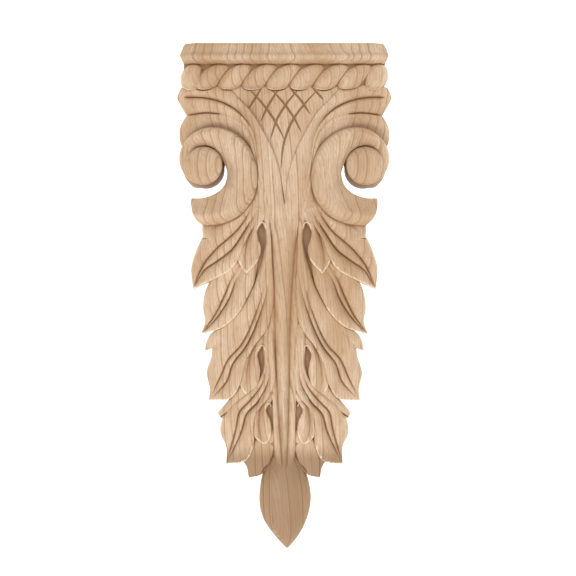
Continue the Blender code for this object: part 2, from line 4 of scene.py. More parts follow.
import bmesh
import bpy
import mathutils
import numpy as np
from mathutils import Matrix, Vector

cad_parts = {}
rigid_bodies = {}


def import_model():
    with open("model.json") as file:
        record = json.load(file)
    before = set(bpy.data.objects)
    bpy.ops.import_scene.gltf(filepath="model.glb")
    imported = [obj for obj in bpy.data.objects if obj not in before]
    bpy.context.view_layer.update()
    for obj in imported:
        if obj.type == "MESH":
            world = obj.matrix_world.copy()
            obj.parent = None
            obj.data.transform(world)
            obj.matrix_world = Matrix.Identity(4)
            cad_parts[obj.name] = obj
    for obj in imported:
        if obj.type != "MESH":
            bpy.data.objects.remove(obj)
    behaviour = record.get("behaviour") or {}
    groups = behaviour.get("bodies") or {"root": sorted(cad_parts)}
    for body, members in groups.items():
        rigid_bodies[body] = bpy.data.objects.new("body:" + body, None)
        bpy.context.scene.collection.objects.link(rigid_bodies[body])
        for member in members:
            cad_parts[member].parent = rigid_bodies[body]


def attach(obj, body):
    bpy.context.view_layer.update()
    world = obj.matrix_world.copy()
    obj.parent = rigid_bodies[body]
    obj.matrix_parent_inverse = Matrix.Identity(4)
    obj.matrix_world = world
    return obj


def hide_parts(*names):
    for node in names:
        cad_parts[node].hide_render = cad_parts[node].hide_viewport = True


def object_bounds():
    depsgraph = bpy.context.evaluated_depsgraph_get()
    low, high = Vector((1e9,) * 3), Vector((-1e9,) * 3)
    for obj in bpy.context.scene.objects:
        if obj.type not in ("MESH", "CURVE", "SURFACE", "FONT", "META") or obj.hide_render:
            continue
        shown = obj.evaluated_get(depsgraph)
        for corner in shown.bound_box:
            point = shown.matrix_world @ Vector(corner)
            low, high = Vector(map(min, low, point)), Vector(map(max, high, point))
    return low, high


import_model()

solid_low, solid_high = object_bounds()

# The camera looks square on at the carved face, a little above the middle of its length.
# It stands an arm's length away, and 576 pixels of the photograph take in 346 mm at the front of the wood.
CAMERA_PLACE = (0.0022, -0.540, 0.0080)
FRONT_DISTANCE = 0.526
PIXEL_AT_FRONT = 0.0006
PHOTO_SIDE = 576
PHOTO_CENTRE_ROW = 286

camera = bpy.data.objects.new("camera", bpy.data.cameras.new("camera"))
camera.location = CAMERA_PLACE
camera.rotation_euler = (math.pi / 2, 0.0, 0.0)
camera.data.lens = camera.data.sensor_width * FRONT_DISTANCE / (PHOTO_SIDE * PIXEL_AT_FRONT)
camera.data.shift_y = (PHOTO_CENTRE_ROW - PHOTO_SIDE / 2) / PHOTO_SIDE
bpy.context.scene.collection.objects.link(camera)
bpy.context.scene.camera = camera

# The blank is three boards of maple glued edge to edge, with the grain running up the carving.
# It is sanded and left bare: the cuts are browned for their burnish and for the painted shade in them, and
# sharp edges keep a pale fuzz of fibre, with a painted highlight on them.
GLUE_LINES = (-0.0074, 0.0394)
# Each board's pith, across from the stem and behind the back, and its lean back and aside in degrees.
BOARD_PITHS = ((-0.140, 0.060), (0.082, 0.055), (0.150, 0.070))
BOARD_LEANS = ((0.0, 1.5), (-4.0, 3.0), (0.0, -1.0))
RING_WIDTH = 0.0038
FINE_RINGS = 3.0
# How far the rings sway, in rings, and how strongly their dark lines and the fibre between them show.
RING_SWAY = 0.9
LINE_SHARE = 0.80
FIBRE_SHARE = 0.24
FLECK_SHARE = 0.26
# How many times a metre each kind of figure changes: across, through and along the grain.
FIGURE = {"sway": (60, 60, 11), "patches": (38, 38, 16), "fibre": (1500, 1500, 90),
          "flecks": (900, 900, 210), "mottle": (260, 260, 110), "ragged": (700, 700, 300)}
HEARTWOOD = (0.58, 0.380, 0.228, 1.0)
SAPWOOD = (0.77, 0.585, 0.415, 1.0)
RING_BROWN = (0.33, 0.175, 0.080, 1.0)
BURNISH_AND_SHADE = (0.26, 0.125, 0.050, 1.0)
# Orange-brown painted shade under the rims and in the crevices.
UNDER_RIM_SHADE = (0.42, 0.215, 0.085, 1.0)
GAP_SHADOW = (0.205, 0.086, 0.028, 1.0)
TAN = (0.50, 0.300, 0.135, 1.0)
FOOT_BROWN = (0.322, 0.194, 0.099, 1.0)
FUZZ_AND_HIGHLIGHT = (0.90, 0.76, 0.57, 1.0)
FOOT_LINE = (0.150, 0.072, 0.030, 1.0)
# Painted shade browns the crevices in steps: how near their walls stand, how shut in they are from and to,
# the share and colour of the shade.
CREVICE_SHADES = ((0.011, 0.42, 0.92, 0.42, TAN), (0.0035, 0.30, 0.80, 0.50, UNDER_RIM_SHADE),
            (0.0015, 0.30, 0.80, 0.45, BURNISH_AND_SHADE))
# How much of their own colour the cuts (burnish and painted shade), the gaps beside the scrolls' eyes
# (painted shadow), the torn rims (pale fuzz) and bare edges (pale fuzz and painted highlight) take.
CUT_SHARE = 0.72
GAP_SHARE = 0.75
RIM_SHARE = 0.75
EDGE_SHARE = 0.35
EDGE_WIDTH = 0.0009
# The bud and the foot of the stem are darker below this height.
DARK_FOOT = (-0.086, -0.098)
TOOL_MARKS = "tool_marks"


def worked_out(tree, operation, *values, clamp=False):
    """A Math node on sockets or plain numbers, in a material or a geometry tree."""
    node = tree.nodes.new("ShaderNodeMath")
    node.operation = operation
    node.use_clamp = clamp
    for socket, value in zip(node.inputs, values):
        if isinstance(value, bpy.types.NodeSocket):
            tree.links.new(value, socket)
        else:
            socket.default_value = value
    return node.outputs[0]


def ramped(tree, value, low, high, start=0.0, end=1.0, smooth=True):
    """A value taken from one range to another."""
    node = tree.nodes.new("ShaderNodeMapRange")
    node.interpolation_type = "SMOOTHSTEP" if smooth else "LINEAR"
    tree.links.new(value, node.inputs["Value"])
    for name, number in zip(("From Min", "From Max", "To Min", "To Max"), (low, high, start, end)):
        node.inputs[name].default_value = number
    return node.outputs[0]


def blended(tree, share, first, second, kind="MIX", data="RGBA"):
    """A Mix node between two colours or two vectors."""
    node = tree.nodes.new("ShaderNodeMix")
    node.data_type = data
    if data == "RGBA":
        node.blend_type = kind
    sockets = {socket.identifier: socket for socket in node.inputs}
    suffix = "Color" if data == "RGBA" else "Vector"
    for identifier, value in (("Factor_Float", share), ("A_" + suffix, first), ("B_" + suffix, second)):
        socket = sockets[identifier]
        if isinstance(value, bpy.types.NodeSocket):
            tree.links.new(value, socket)
        else:
            socket.default_value = value
    return next(s for s in node.outputs if s.identifier == "Result_" + suffix)


def noise_on(tree, vector, scale, detail=2.0, roughness=0.5, dimensions="3D"):
    """Smooth noise on a vector."""
    node = tree.nodes.new("ShaderNodeTexNoise")
    node.noise_dimensions = dimensions
    if dimensions != "1D":
        tree.links.new(vector, node.inputs["Vector"])
    else:
        tree.links.new(vector, node.inputs["W"])
    node.inputs["Scale"].default_value = scale
    node.inputs["Detail"].default_value = detail
    node.inputs["Roughness"].default_value = roughness
    return node.outputs["Fac"]


def turned(tree, vector, place=(0, 0, 0), turn=(0, 0, 0), scale=(1, 1, 1)):
    """A Mapping node that centres, turns and stretches a pattern on the piece."""
    node = tree.nodes.new("ShaderNodeMapping")
    tree.links.new(vector, node.inputs["Vector"])
    node.inputs["Location"].default_value = place
    node.inputs["Rotation"].default_value = turn
    node.inputs["Scale"].default_value = scale
    return node.outputs[0]


def bare_maple():
    """The wood: growth rings cut by the carving, fibre and flecks, cuts browned for burnish and painted
    shade, painted shade in the crevices, and pale edges of fuzz and painted highlight.
    """
    material = bpy.data.materials.new("bare_maple")
    material.use_nodes = True
    tree = material.node_tree
    shader = tree.nodes["Principled BSDF"]
    place = tree.nodes.new("ShaderNodeTexCoord").outputs["Object"]
    parts = tree.nodes.new("ShaderNodeSeparateXYZ")
    tree.links.new(place, parts.inputs[0])

    # Each board's own frame, with its pith on the Z axis.
    boards = [turned(tree, place, (-across, -behind, 0), (math.radians(back), math.radians(aside), 0))
              for (across, behind), (back, aside) in zip(BOARD_PITHS, BOARD_LEANS)]
    past_first = worked_out(tree, "GREATER_THAN", parts.outputs[0], GLUE_LINES[0])
    past_second = worked_out(tree, "GREATER_THAN", parts.outputs[0], GLUE_LINES[1])
    board = blended(tree, past_first, boards[0], boards[1], data="VECTOR")
    board = blended(tree, past_second, board, boards[2], data="VECTOR")

    flat = tree.nodes.new("ShaderNodeSeparateXYZ")
    tree.links.new(board, flat.inputs[0])
    squares = worked_out(tree, "ADD", worked_out(tree, "MULTIPLY", flat.outputs[0], flat.outputs[0]),
                         worked_out(tree, "MULTIPLY", flat.outputs[1], flat.outputs[1]))
    radius = worked_out(tree, "SQRT", squares)
    sway = noise_on(tree, turned(tree, board, scale=FIGURE["sway"]), 1.0, 2.0)
    ring = worked_out(tree, "ADD", worked_out(tree, "DIVIDE", radius, RING_WIDTH),
                      worked_out(tree, "MULTIPLY", sway, RING_SWAY))
    phase = worked_out(tree, "FRACT", ring)
    line = worked_out(tree, "MULTIPLY", ramped(tree, phase, 0.66, 0.93),
                      ramped(tree, phase, 0.955, 1.0, 1.0, 0.0))
    strength = noise_on(tree, worked_out(tree, "FLOOR", ring), 3.7, 0.0, dimensions="1D")
    line = worked_out(tree, "MULTIPLY", line, ramped(tree, strength, 0.3, 0.65, 0.15, 0.8))
    fine = worked_out(tree, "FRACT", worked_out(tree, "MULTIPLY", ring, FINE_RINGS))
    fine = worked_out(tree, "MULTIPLY", ramped(tree, fine, 0.45, 0.88),
                      ramped(tree, fine, 0.92, 1.0, 0.30, 0.0))
    line = worked_out(tree, "MAXIMUM", line, fine)

    patches = noise_on(tree, turned(tree, place, scale=FIGURE["patches"]), 1.0, 2.0)
    fibre = noise_on(tree, turned(tree, board, scale=FIGURE["fibre"]), 1.0, 3.0, 0.65)
    flecks = noise_on(tree, turned(tree, board, scale=FIGURE["flecks"]), 1.0, 1.0, 0.4)
    mottle = noise_on(tree, turned(tree, place, scale=FIGURE["mottle"]), 1.0, 3.0, 0.6)
    colour = blended(tree, ramped(tree, patches, 0.30, 0.70), SAPWOOD, HEARTWOOD)
    colour = blended(tree, ramped(tree, mottle, 0.40, 0.68, 0.0, 0.26), colour, TAN)
    at_foot = ramped(tree, parts.outputs[2], *DARK_FOOT, 0.0, 0.80)
    colour = blended(tree, at_foot, colour, FOOT_BROWN)
    colour = blended(tree, ramped(tree, fibre, 0.30, 0.72, 0.0, FIBRE_SHARE), colour, RING_BROWN)
    colour = blended(tree, ramped(tree, flecks, 0.58, 0.72, 0.0, FLECK_SHARE), colour, RING_BROWN)
    colour = blended(tree, worked_out(tree, "MULTIPLY", line, LINE_SHARE), colour,
                     blended(tree, at_foot, RING_BROWN, FOOT_LINE))

    def closeness(distance, inside=False):
        """How enclosed a place is within a distance, from 0 in the open to 1."""
        node = tree.nodes.new("ShaderNodeAmbientOcclusion")
        node.samples = 12
        node.inside = inside
        node.only_local = True
        node.inputs["Distance"].default_value = distance
        return worked_out(tree, "SUBTRACT", 1.0, node.outputs["AO"])

    # Painted shade: the more shut in a place is, the browner it is made.
    for near, opening, shut, share, brown in CREVICE_SHADES:
        colour = blended(tree, ramped(tree, closeness(near), opening, shut, 0.0, share), colour, brown)

    # Where the cuts and the pale rims lie is worked out with the carving, and kept on it as a map.
    marks = tree.nodes.new("ShaderNodeUVMap")
    marks.uv_map = TOOL_MARKS
    mark = tree.nodes.new("ShaderNodeSeparateXYZ")
    tree.links.new(marks.outputs[0], mark.inputs[0])
    ragged = noise_on(tree, turned(tree, place, scale=FIGURE["ragged"]), 1.0, 2.0)
    # The cuts are browned for their burnish and for the painted shade that falls in them.
    cut_burnish_and_shade = worked_out(tree, "ADD", mark.outputs[0], worked_out(tree, "MULTIPLY", ragged, 0.25))
    cut_burnish_and_shade = worked_out(tree, "MULTIPLY", ramped(tree, cut_burnish_and_shade, 0.30, 0.95), CUT_SHARE)
    colour = blended(tree, cut_burnish_and_shade, colour, BURNISH_AND_SHADE)
    # The open gaps beside the eyes are darkened with painted shadow.
    colour = blended(tree, ramped(tree, mark.outputs[0], 1.05, 1.6, 0.0, GAP_SHARE), colour, GAP_SHADOW)
    torn = worked_out(tree, "ADD", mark.outputs[1], worked_out(tree, "MULTIPLY", ragged, 0.5))
    torn = worked_out(tree, "MULTIPLY", ramped(tree, torn, 1.02, 1.20), RIM_SHARE)
    # Thin convex edges are paled: partly fibre fuzz, partly a painted highlight.
    edge = ramped(tree, closeness(EDGE_WIDTH, inside=True), 0.45, 0.75, 0.0, EDGE_SHARE)
    colour = blended(tree, worked_out(tree, "MAXIMUM", torn, edge), colour, FUZZ_AND_HIGHLIGHT)
    tree.links.new(colour, shader.inputs["Base Color"])

    tree.links.new(ramped(tree, fibre, 0.2, 0.8, 0.48, 0.66), shader.inputs["Roughness"])
    shader.inputs["Specular IOR Level"].default_value = 0.40
    bump = tree.nodes.new("ShaderNodeBump")
    bump.inputs["Strength"].default_value = 0.35
    bump.inputs["Distance"].default_value = 0.00012
    tree.links.new(fibre, bump.inputs["Height"])
    tree.links.new(bump.outputs[0], shader.inputs["Normal"])
    return material


maple = bare_maple()

# The ground is the bottom of the carving, where the blank is cut down between the leaves beside the stem.
# Every form below is drawn lying on its back, in millimetres across, up and out, for this size of blank.
DRAWN_SIZE = (129.5, 304.0, 24.0)
GROUND_DEPTH = 7.5
SUNK = 2.0
GROUND_EDGE = [(-8, 80), (-17, 68), (-25, 50), (-33, 22), (-43, 6), (-43, -13), (-36, -25), (-39, -43),
               (-37, -55), (-26, -61), (-33, -76), (-31, -94), (-20, -103), (0, -106)]
HOLLOW_DEPTH = 10.5
# The hollows' floor is painted brown as the shade that falls in them.
HOLLOW_SHADE = 1.0
HOLLOW_EDGE = [(-10, 62), (-20, 50), (-20, 32), (-16, 10), (-16, -20), (-20, -32), (-19, -46), (-14, -58),
               (-15, -72), (-10, -86), (0, -95)]
solid_size = solid_high - solid_low
SCALE = np.array((solid_size.x / DRAWN_SIZE[0], solid_size.z / DRAWN_SIZE[1], solid_size.y / DRAWN_SIZE[2]))
MM = float(SCALE[2])

carved_forms = bpy.data.collections.new("carved forms")
bpy.context.scene.collection.children.link(carved_forms)


def closed_form(name, verts, faces, marks=None):
    """A closed form of the carving, filed with the others until they are joined.

    Its marks are, for each of its points, how much of a cut and how much of a pale rim it is.
    """
    data = bpy.data.meshes.new(name)
    data.from_pydata([tuple(v) for v in verts], [], faces)
    layer = data.uv_layers.new(name=TOOL_MARKS)
    corners = np.empty(len(data.loops), np.int32)
    data.loops.foreach_get("vertex_index", corners)
    each = np.zeros((len(verts), 2), np.float32) if marks is None else np.asarray(marks, np.float32)
    layer.data.foreach_set("uv", each[corners].ravel())
    mesh = bmesh.new()
    mesh.from_mesh(data)
    bmesh.ops.remove_doubles(mesh, verts=mesh.verts[:], dist=1e-6)
    bmesh.ops.recalc_face_normals(mesh, faces=mesh.faces[:])
    mesh.to_mesh(data)
    mesh.free()
    form = bpy.data.objects.new(name, data)
    carved_forms.objects.link(form)
    return form


def from_outline(name, outline, depth, brown=0.0):
    """A flat-topped form of any outline, and how brown its top is."""
    count = len(outline)
    verts = [(x * SCALE[0], y * SCALE[1], z * SCALE[2]) for z in (depth, -SUNK) for x, y in outline]
    walls = [(k, (k + 1) % count, count + (k + 1) % count, count + k) for k in range(count)]
    faces = [tuple(range(count)), tuple(range(2 * count - 1, count - 1, -1)), *walls]
    return closed_form(name, verts, faces, [(brown, 0.0)] * count + [(0.0, 0.0)] * count)


def both_halves(edge):
    """A whole outline from its left half, which starts and ends by the stem."""
    return edge + [(-x, y) for x, y in reversed(edge) if x]


from_outline("ground", both_halves(GROUND_EDGE), GROUND_DEPTH)
from_outline("hollow_floor", both_halves(HOLLOW_EDGE), HOLLOW_DEPTH, HOLLOW_SHADE)

# The bud at the foot and the stem up the middle are the first forms that the carver rounds over.
# Each ribbed form is a skin over rails that run from root to tip, swelling between them and cut along them.
# Points stand this close to a rail, so that a cut along it keeps its shape, with even ones between.
NEAR_A_RAIL = np.array((0.0, 0.15, 0.4, 0.8, 1.3))
MOST_NEAR = 0.4
FULL_CROWN_WIDTH = 6.0
OPEN_COLUMNS = 4
ROW_LENGTH = 1.4
# How far in from its edge a form rounds over, and how far it drops there.
SOFT_RIM = (2.2, 1.3)
CRISP_RIM = (0.7, 0.7)
# A pale rim runs this far in from a crisp edge before it is gone.
RIM_REACH = 5.5
# The brown of a cut takes up this share of its reach to each side.
CUT_MARK = 0.75
# A window on a form's length opens and shuts over this share of it.
WINDOW_EDGE = 0.08
# An open end turns away in a facet, this long and this deep, and bulges from this share of the length on.
END_FACET = (4.6, 1.8)
END_START = 0.94
TRUNK = [
    [(-14, 68, 10), (-12, 44, 13), (-10, 20, 13.5), (-8.8, -12, 13.5), (-7.8, -45, 13.5), (-6.8, -75, 13),
     (-6.2, -92, 11), (-5.0, -105, 8)],
    [(-12, 68, 11), (-10, 56, 13.3), (-8.5, 44.5, 14.3), (-7.1, 22.5, 14.5), (-5.9, -12.5, 14.5),
     (-5, -42.5, 14), (-3.2, -72.5, 13.5), (-1.1, -105, 13)],
    [(12, 68, 11), (10, 56, 13.3), (8, 41, 14.3), (5.5, 17.5, 14.5), (3.7, -12.5, 14.5), (3.1, -42.5, 14),
     (2.5, -72.5, 13.5), (1.6, -106, 13)],
    [(14, 68, 10), (12, 44, 13), (10, 20, 13.5), (8.8, -12, 13.5), (7.8, -45, 13.5), (6.8, -75, 13),
     (6.6, -92, 11), (5.6, -106, 8)],
]
BUD = [
    [(-6.9, -95, 9), (-10.5, -101, 9), (-13.5, -107.7, 9), (-15.1, -116.8, 9), (-14.8, -126.5, 9),
     (-12.3, -134.3, 9), (-6.9, -142.4, 8.5), (1.6, -152, 8)],
    [(7.7, -96, 9), (11.3, -102, 9), (14.6, -110.7, 9), (16.1, -119.2, 9), (14.9, -129, 9),
     (11.9, -137.4, 9), (7.7, -144.8, 8.5), (1.6, -152, 8)],
]


def curve(points, steps):
    """A smooth curve through the points, read at steps + 1 even places."""
    knots = np.asarray(points, float)
    gaps = np.linalg.norm(np.diff(knots, axis=0), axis=1)[:, None]
    slopes = np.diff(knots, axis=0) / gaps
    inner = (slopes[:-1] * gaps[1:] + slopes[1:] * gaps[:-1]) / (gaps[1:] + gaps[:-1])
    tangents = np.vstack([slopes[:1], inner, slopes[-1:]])
    ends = np.cumsum(gaps)
    ways = np.linspace(0.0, ends[-1], steps + 1)
    k = np.minimum(np.searchsorted(ends, ways), len(gaps) - 1)
    gap = gaps[k]
    t = 1.0 - (ends[k] - ways)[:, None] / gap
    start = knots[k] * (2 * t**3 - 3 * t**2 + 1) + tangents[k] * gap * (t**3 - 2 * t**2 + t)
    end = knots[k + 1] * (3 * t**2 - 2 * t**3) + tangents[k + 1] * gap * (t**3 - t**2)
    return start + end


def rounded(distance, rim):
    """How far a rim has fallen away at a distance in from it."""
    reach, drop = rim
    left = np.clip(1.0 - distance / reach, 0.0, 1.0)
    return drop * (1.0 - np.sqrt(1.0 - left**2))


def windows(way, spans):
    """How much of each place along a form lies inside the spans, which are pairs of shares of its length."""
    inside = np.zeros_like(way)
    for start, end in spans:
        opened = np.clip((way - start) / WINDOW_EDGE, 0, 1)
        inside = np.maximum(inside, opened * np.clip((end - way) / WINDOW_EDGE, 0, 1))
    return inside


def ribbed(rails, crowns, cuts=(), rims=(SOFT_RIM, CRISP_RIM), pale=((), ()), open_tip=False, ends=None):
    """Rows of points over a form, and the tool marks on them.

    Each strip between rails swells by its crown. A cut lies along an inner rail: its depth, its reach to
    either side, how brown it is, and the shares of the form's length where it starts, is whole, starts to
    run out and is gone. Pale holds the spans of each edge that keep a pale rim. The ends are how far each
    strip bulges past the rails' ends.
    """
    length = np.linalg.norm(np.diff(np.array(rails[0], float), axis=0), axis=1).sum()
    steps = max(8, round(length / ROW_LENGTH))
    lines = np.array([curve(rail, steps) for rail in rails])
    way = np.linspace(0.0, 1.0, steps + 1)[:, None]
    root = 1 - (1 - np.clip(4 * way, 0, 1)) ** 2
    tip = 1.0 if open_tip else 1 - (1 - np.clip(3 * (1 - way), 0, 1)) ** 2
    strips, places, before = [], [], np.zeros((steps + 1, 1))
    rail_places = [before]
    for number, (left, right, crown) in enumerate(zip(lines[:-1], lines[1:], crowns)):
        width = np.maximum(np.linalg.norm(right[:, :2] - left[:, :2], axis=1)[:, None], 1e-6)
        near = NEAR_A_RAIL * np.minimum(1 / width, MOST_NEAR / NEAR_A_RAIL[-1])
        gap = 1 - 2 * near[:, -1:]
        middle = near[:, -1:] + gap * np.linspace(0, 1, OPEN_COLUMNS + 2)[1:-1]
        share = np.hstack([near, middle, 1 - near[:, ::-1]])
        arch = 4 * share * (1 - share)
        points = left[:, None] * (1 - share[..., None]) + right[:, None] * share[..., None]
        points[..., 2] += crown * np.minimum(1, width / FULL_CROWN_WIDTH) * root * tip * arch
        if ends:
            ahead = left[-1, :2] - left[-2, :2] + right[-1, :2] - right[-2, :2]
            push = ends[number] * arch * np.clip((way - END_START) / (1 - END_START), 0, 1) ** 2
            points[..., :2] += push[..., None] * ahead / np.linalg.norm(ahead)
        last = number == len(crowns) - 1
        strips.append(points if last else points[:, :-1])
        places.append((before + share * width)[:, : strips[-1].shape[1]])
        before = before + width
        rail_places.append(before)
    grid = np.concatenate(strips, axis=1)
    place = np.concatenate(places, axis=1)
    grid[..., 2] -= rounded(place, rims[0]) + rounded(before - place, rims[1])
    if ends:
        grid[..., 2] -= END_FACET[1] * np.clip(1 - (1 - way) * length / END_FACET[0], 0, 1)
    # A cut's brown stands for its burnish and for the painted shade in it.
    cut_mark = np.zeros(grid.shape[:2])
    for at, cut in zip(rail_places[1:-1], cuts):
        if cut:
            depth, before_it, after_it, brown, (start, whole, fading, gone) = cut
            fade = np.clip((way - start) / (whole - start), 0, 1)
            fade = fade * np.clip((gone - way) / (gone - fading), 0, 1)
            off = place - at
            reach = np.where(off < 0, before_it, after_it)
            grid[..., 2] -= depth * fade * np.clip(1 - np.abs(off) / reach, 0, 1)
            beside = np.clip(1 - np.abs(off) / reach / CUT_MARK, 0, 1)
            cut_mark = np.maximum(cut_mark, brown * fade**0.5 * beside)
    first = windows(way, pale[0]) * np.clip(1 - place / RIM_REACH, 0, 1)
    final = windows(way, pale[1]) * np.clip(1 - (before - place) / RIM_REACH, 0, 1)
    return grid, np.stack([cut_mark, np.maximum(first, final)], axis=2)


def skin(name, surface, closed=False):
    """A closed form under a grid of points on its face, carried straight down to below the back."""
    grid, marks = surface
    rows, columns = grid.shape[:2]
    top = grid.reshape(-1, 3) * SCALE
    under = top.copy()
    under[:, 2] = -SUNK * MM
    count = rows * columns
    faces = []
    spans = columns if closed else columns - 1
    for r in range(rows - 1):
        for c in range(spans):
            a, b = r * columns + c, r * columns + (c + 1) % columns
            faces.append((a, b, b + columns, a + columns))
            faces.append((a + columns + count, b + columns + count, b + count, a + count))
    ends = [(r, c, r, (c + 1) % columns) for r in (0, rows - 1) for c in range(spans)]
    sides = [] if closed else [(r, c, r + 1, c) for c in (0, columns - 1) for r in range(rows - 1)]
    for r0, c0, r1, c1 in ends + sides:
        a, b = r0 * columns + c0, r1 * columns + c1
        faces.append((a, b, b + count, a + count))
    marks = marks.reshape(-1, 2)
    return closed_form(name, np.vstack([top, under]), faces, np.vstack([marks, 0 * marks]))


def pair(name, surface, closed=False):
    """A form to the left of the stem and its mirror image to the right."""
    grid, marks = surface
    skin(name + "_left", (grid, marks), closed)
    skin(name + "_right", (grid * (-1, 1, 1), marks), closed)


BUD_RIM = (3.4, 1.6)
STEM_GROOVE = (1.3, 2.8, 3.0, 0.55, (-0.2, -0.1, 1.1, 1.2))
TRUNK_CROWNS = (0.8, 2.6, 0.8)
BUD_CROWNS = (5.2,)
trunk = ribbed(TRUNK, TRUNK_CROWNS, (STEM_GROOVE, STEM_GROOVE), (CRISP_RIM, CRISP_RIM), open_tip=True)
skin("trunk", trunk)
skin("bud", ribbed(BUD, BUD_CROWNS, rims=(BUD_RIM, BUD_RIM)))

# The leaves are carved in tiers down both sides of the stem, each lapping over the one below.
# Each runs from its root by the stem to its tip: the upper edge, two vein cuts and the crisp lower edge.
LEAVES = {
    "upper_leaf": (
        [
            [(-20, 64, 12.5), (-29, 50, 12.5), (-40, 46.5, 11.5), (-47.5, 40.5, 11), (-53.5, 29.5, 10.5),
             (-56.5, 19, 10), (-55.5, 6, 9)],
            [(-18.5, 62, 12.5), (-21.2, 52.5, 13.5), (-26.5, 44, 12.3), (-42.5, 29, 10.5), (-48, 22.5, 9.8),
             (-55.5, 6, 9)],
            [(-15.5, 60, 12.5), (-18.2, 50.5, 14), (-24.5, 40, 12.8), (-32, 29.5, 11.5), (-40.5, 23, 11),
             (-48.5, 17.5, 10), (-55.5, 6, 9)],
            [(-13, 59, 12.5), (-15.8, 48.5, 15.4), (-22.5, 36.5, 15.8), (-27.5, 24, 15.2),
             (-32.5, 17.5, 14), (-40.5, 13, 12.5), (-55.5, 6, 9)],
        ],
        (1.8, 1.0, 1.8),
    ),
    "second_leaf": (
        [
            [(-23, 28, 10.5), (-37.5, 17.5, 11), (-45, 11, 10.5), (-49, 0.5, 10), (-49.5, -6, 9.5),
             (-48.3, -13, 9.5), (-50.8, -21.5, 9)],
            [(-21, 28, 10.8), (-32, 12, 10.8), (-37, 0.5, 10.2), (-43, -11, 9.6), (-50.8, -21.5, 9)],
            [(-18.5, 28, 11.2), (-28.5, 13, 11.5), (-33.5, 0, 10.8), (-39.5, -9.5, 10.2), (-50.8, -21.5, 9)],
            [(-15, 28, 11), (-16.4, 19, 12), (-18, 10.5, 13.6), (-22, 1.5, 14), (-27, -7.5, 13.5),
             (-35.5, -16, 12), (-50.8, -21.5, 9)],
        ],
        (1.8, 0.9, 1.8),
    ),
    "third_leaf": (
        [
            [(-14.5, 58, 12.5), (-13, 47, 14.6), (-11, 37, 15), (-12.4, 28, 14.5), (-17, 13, 12.5),
             (-25.5, -2.5, 11), (-36.5, -15, 10), (-43, -26, 9.5), (-44.5, -35, 9.3), (-47.3, -44.5, 9),
             (-45.3, -55, 9), (-46, -61.5, 9)],
            [(-11.5, 58, 12.5), (-10.5, 47, 15.8), (-9.8, 35.5, 16), (-12.2, 8.5, 14.5),
             (-18.3, -11.5, 12.5), (-26, -27.5, 11), (-34, -36.5, 10.3), (-38.5, -46.5, 9.8),
             (-46, -61.5, 9)],
            [(-10.4, 58, 12.5), (-9.3, 47, 15.8), (-8.6, 35.5, 16), (-9.8, 8.5, 15), (-15.2, -11, 13),
             (-23.7, -29.5, 11.5), (-31, -39, 10.8), (-34.5, -49, 10.2), (-46, -61.5, 9)],
            [(-8.8, 58, 12.5), (-8.2, 44.5, 14), (-7.2, 24, 14), (-6.6, -4, 14.2), (-9.8, -17, 15.2),
             (-18, -28, 15.5), (-23, -37.5, 14.5), (-26.7, -51.5, 13), (-32, -59.5, 11), (-46, -61.5, 9)],
        ],
        (1.5, 0.9, 1.6),
    ),
    "fourth_leaf": (
        [
            [(-11.8, -10, 12), (-13, -24, 14.5), (-12.8, -31, 14.5), (-12.2, -38, 14), (-14.2, -46, 13),
             (-19, -53.5, 12), (-25, -58.5, 11), (-32.3, -64, 10), (-37.7, -72.5, 9.5), (-39, -80.5, 9),
             (-35.4, -89.5, 9), (-35.4, -100, 9)],
            [(-9.8, -10, 12), (-10, -24, 15.4), (-10.4, -36.5, 15), (-13.4, -51, 12.5), (-20.7, -61, 11.3),
             (-27, -68, 10.5), (-29.2, -78, 10), (-35.4, -100, 9)],
            [(-8, -10, 12), (-7.8, -24, 15.4), (-8.3, -36.5, 15.3), (-10.4, -51.5, 13), (-16, -62, 12),
             (-22.5, -69, 11), (-25.6, -79, 10.4), (-35.4, -100, 9)],
            [(-6.6, -10, 12), (-6, -26, 14), (-5.4, -39, 14), (-5.6, -51, 14.2), (-9.8, -59.5, 15),
             (-16.4, -67.5, 14.5), (-18.5, -77.5, 13.5), (-18.3, -86.5, 12), (-23.2, -97.5, 10.5),
             (-35.4, -100, 9)],
        ],
        (1.5, 0.9, 1.6),
    ),
}
# Shares of each leaf's length: its pale rim starts where the leaf is parted from its inner lobe,
# and its veins start where it comes out from under its neighbours.
RIM_STARTS = {"upper_leaf": 0.48, "second_leaf": 0.45, "third_leaf": 0.78, "fourth_leaf": 0.70}
VEIN_STARTS = {"upper_leaf": 0.10, "second_leaf": 0.25, "third_leaf": 0.38, "fourth_leaf": 0.34}
VEIN_DEPTH = 1.0
VEIN_SIDES = (0.75, 1.2)
for name, (rails, crowns) in LEAVES.items():
    begin = VEIN_STARTS[name]
    vein = (VEIN_DEPTH, *VEIN_SIDES, 1.0, (begin, begin + 0.2, 0.9, 0.99))
    pair(name, ribbed(rails, crowns, (vein, vein), pale=((), ((RIM_STARTS[name], 1.2),))))

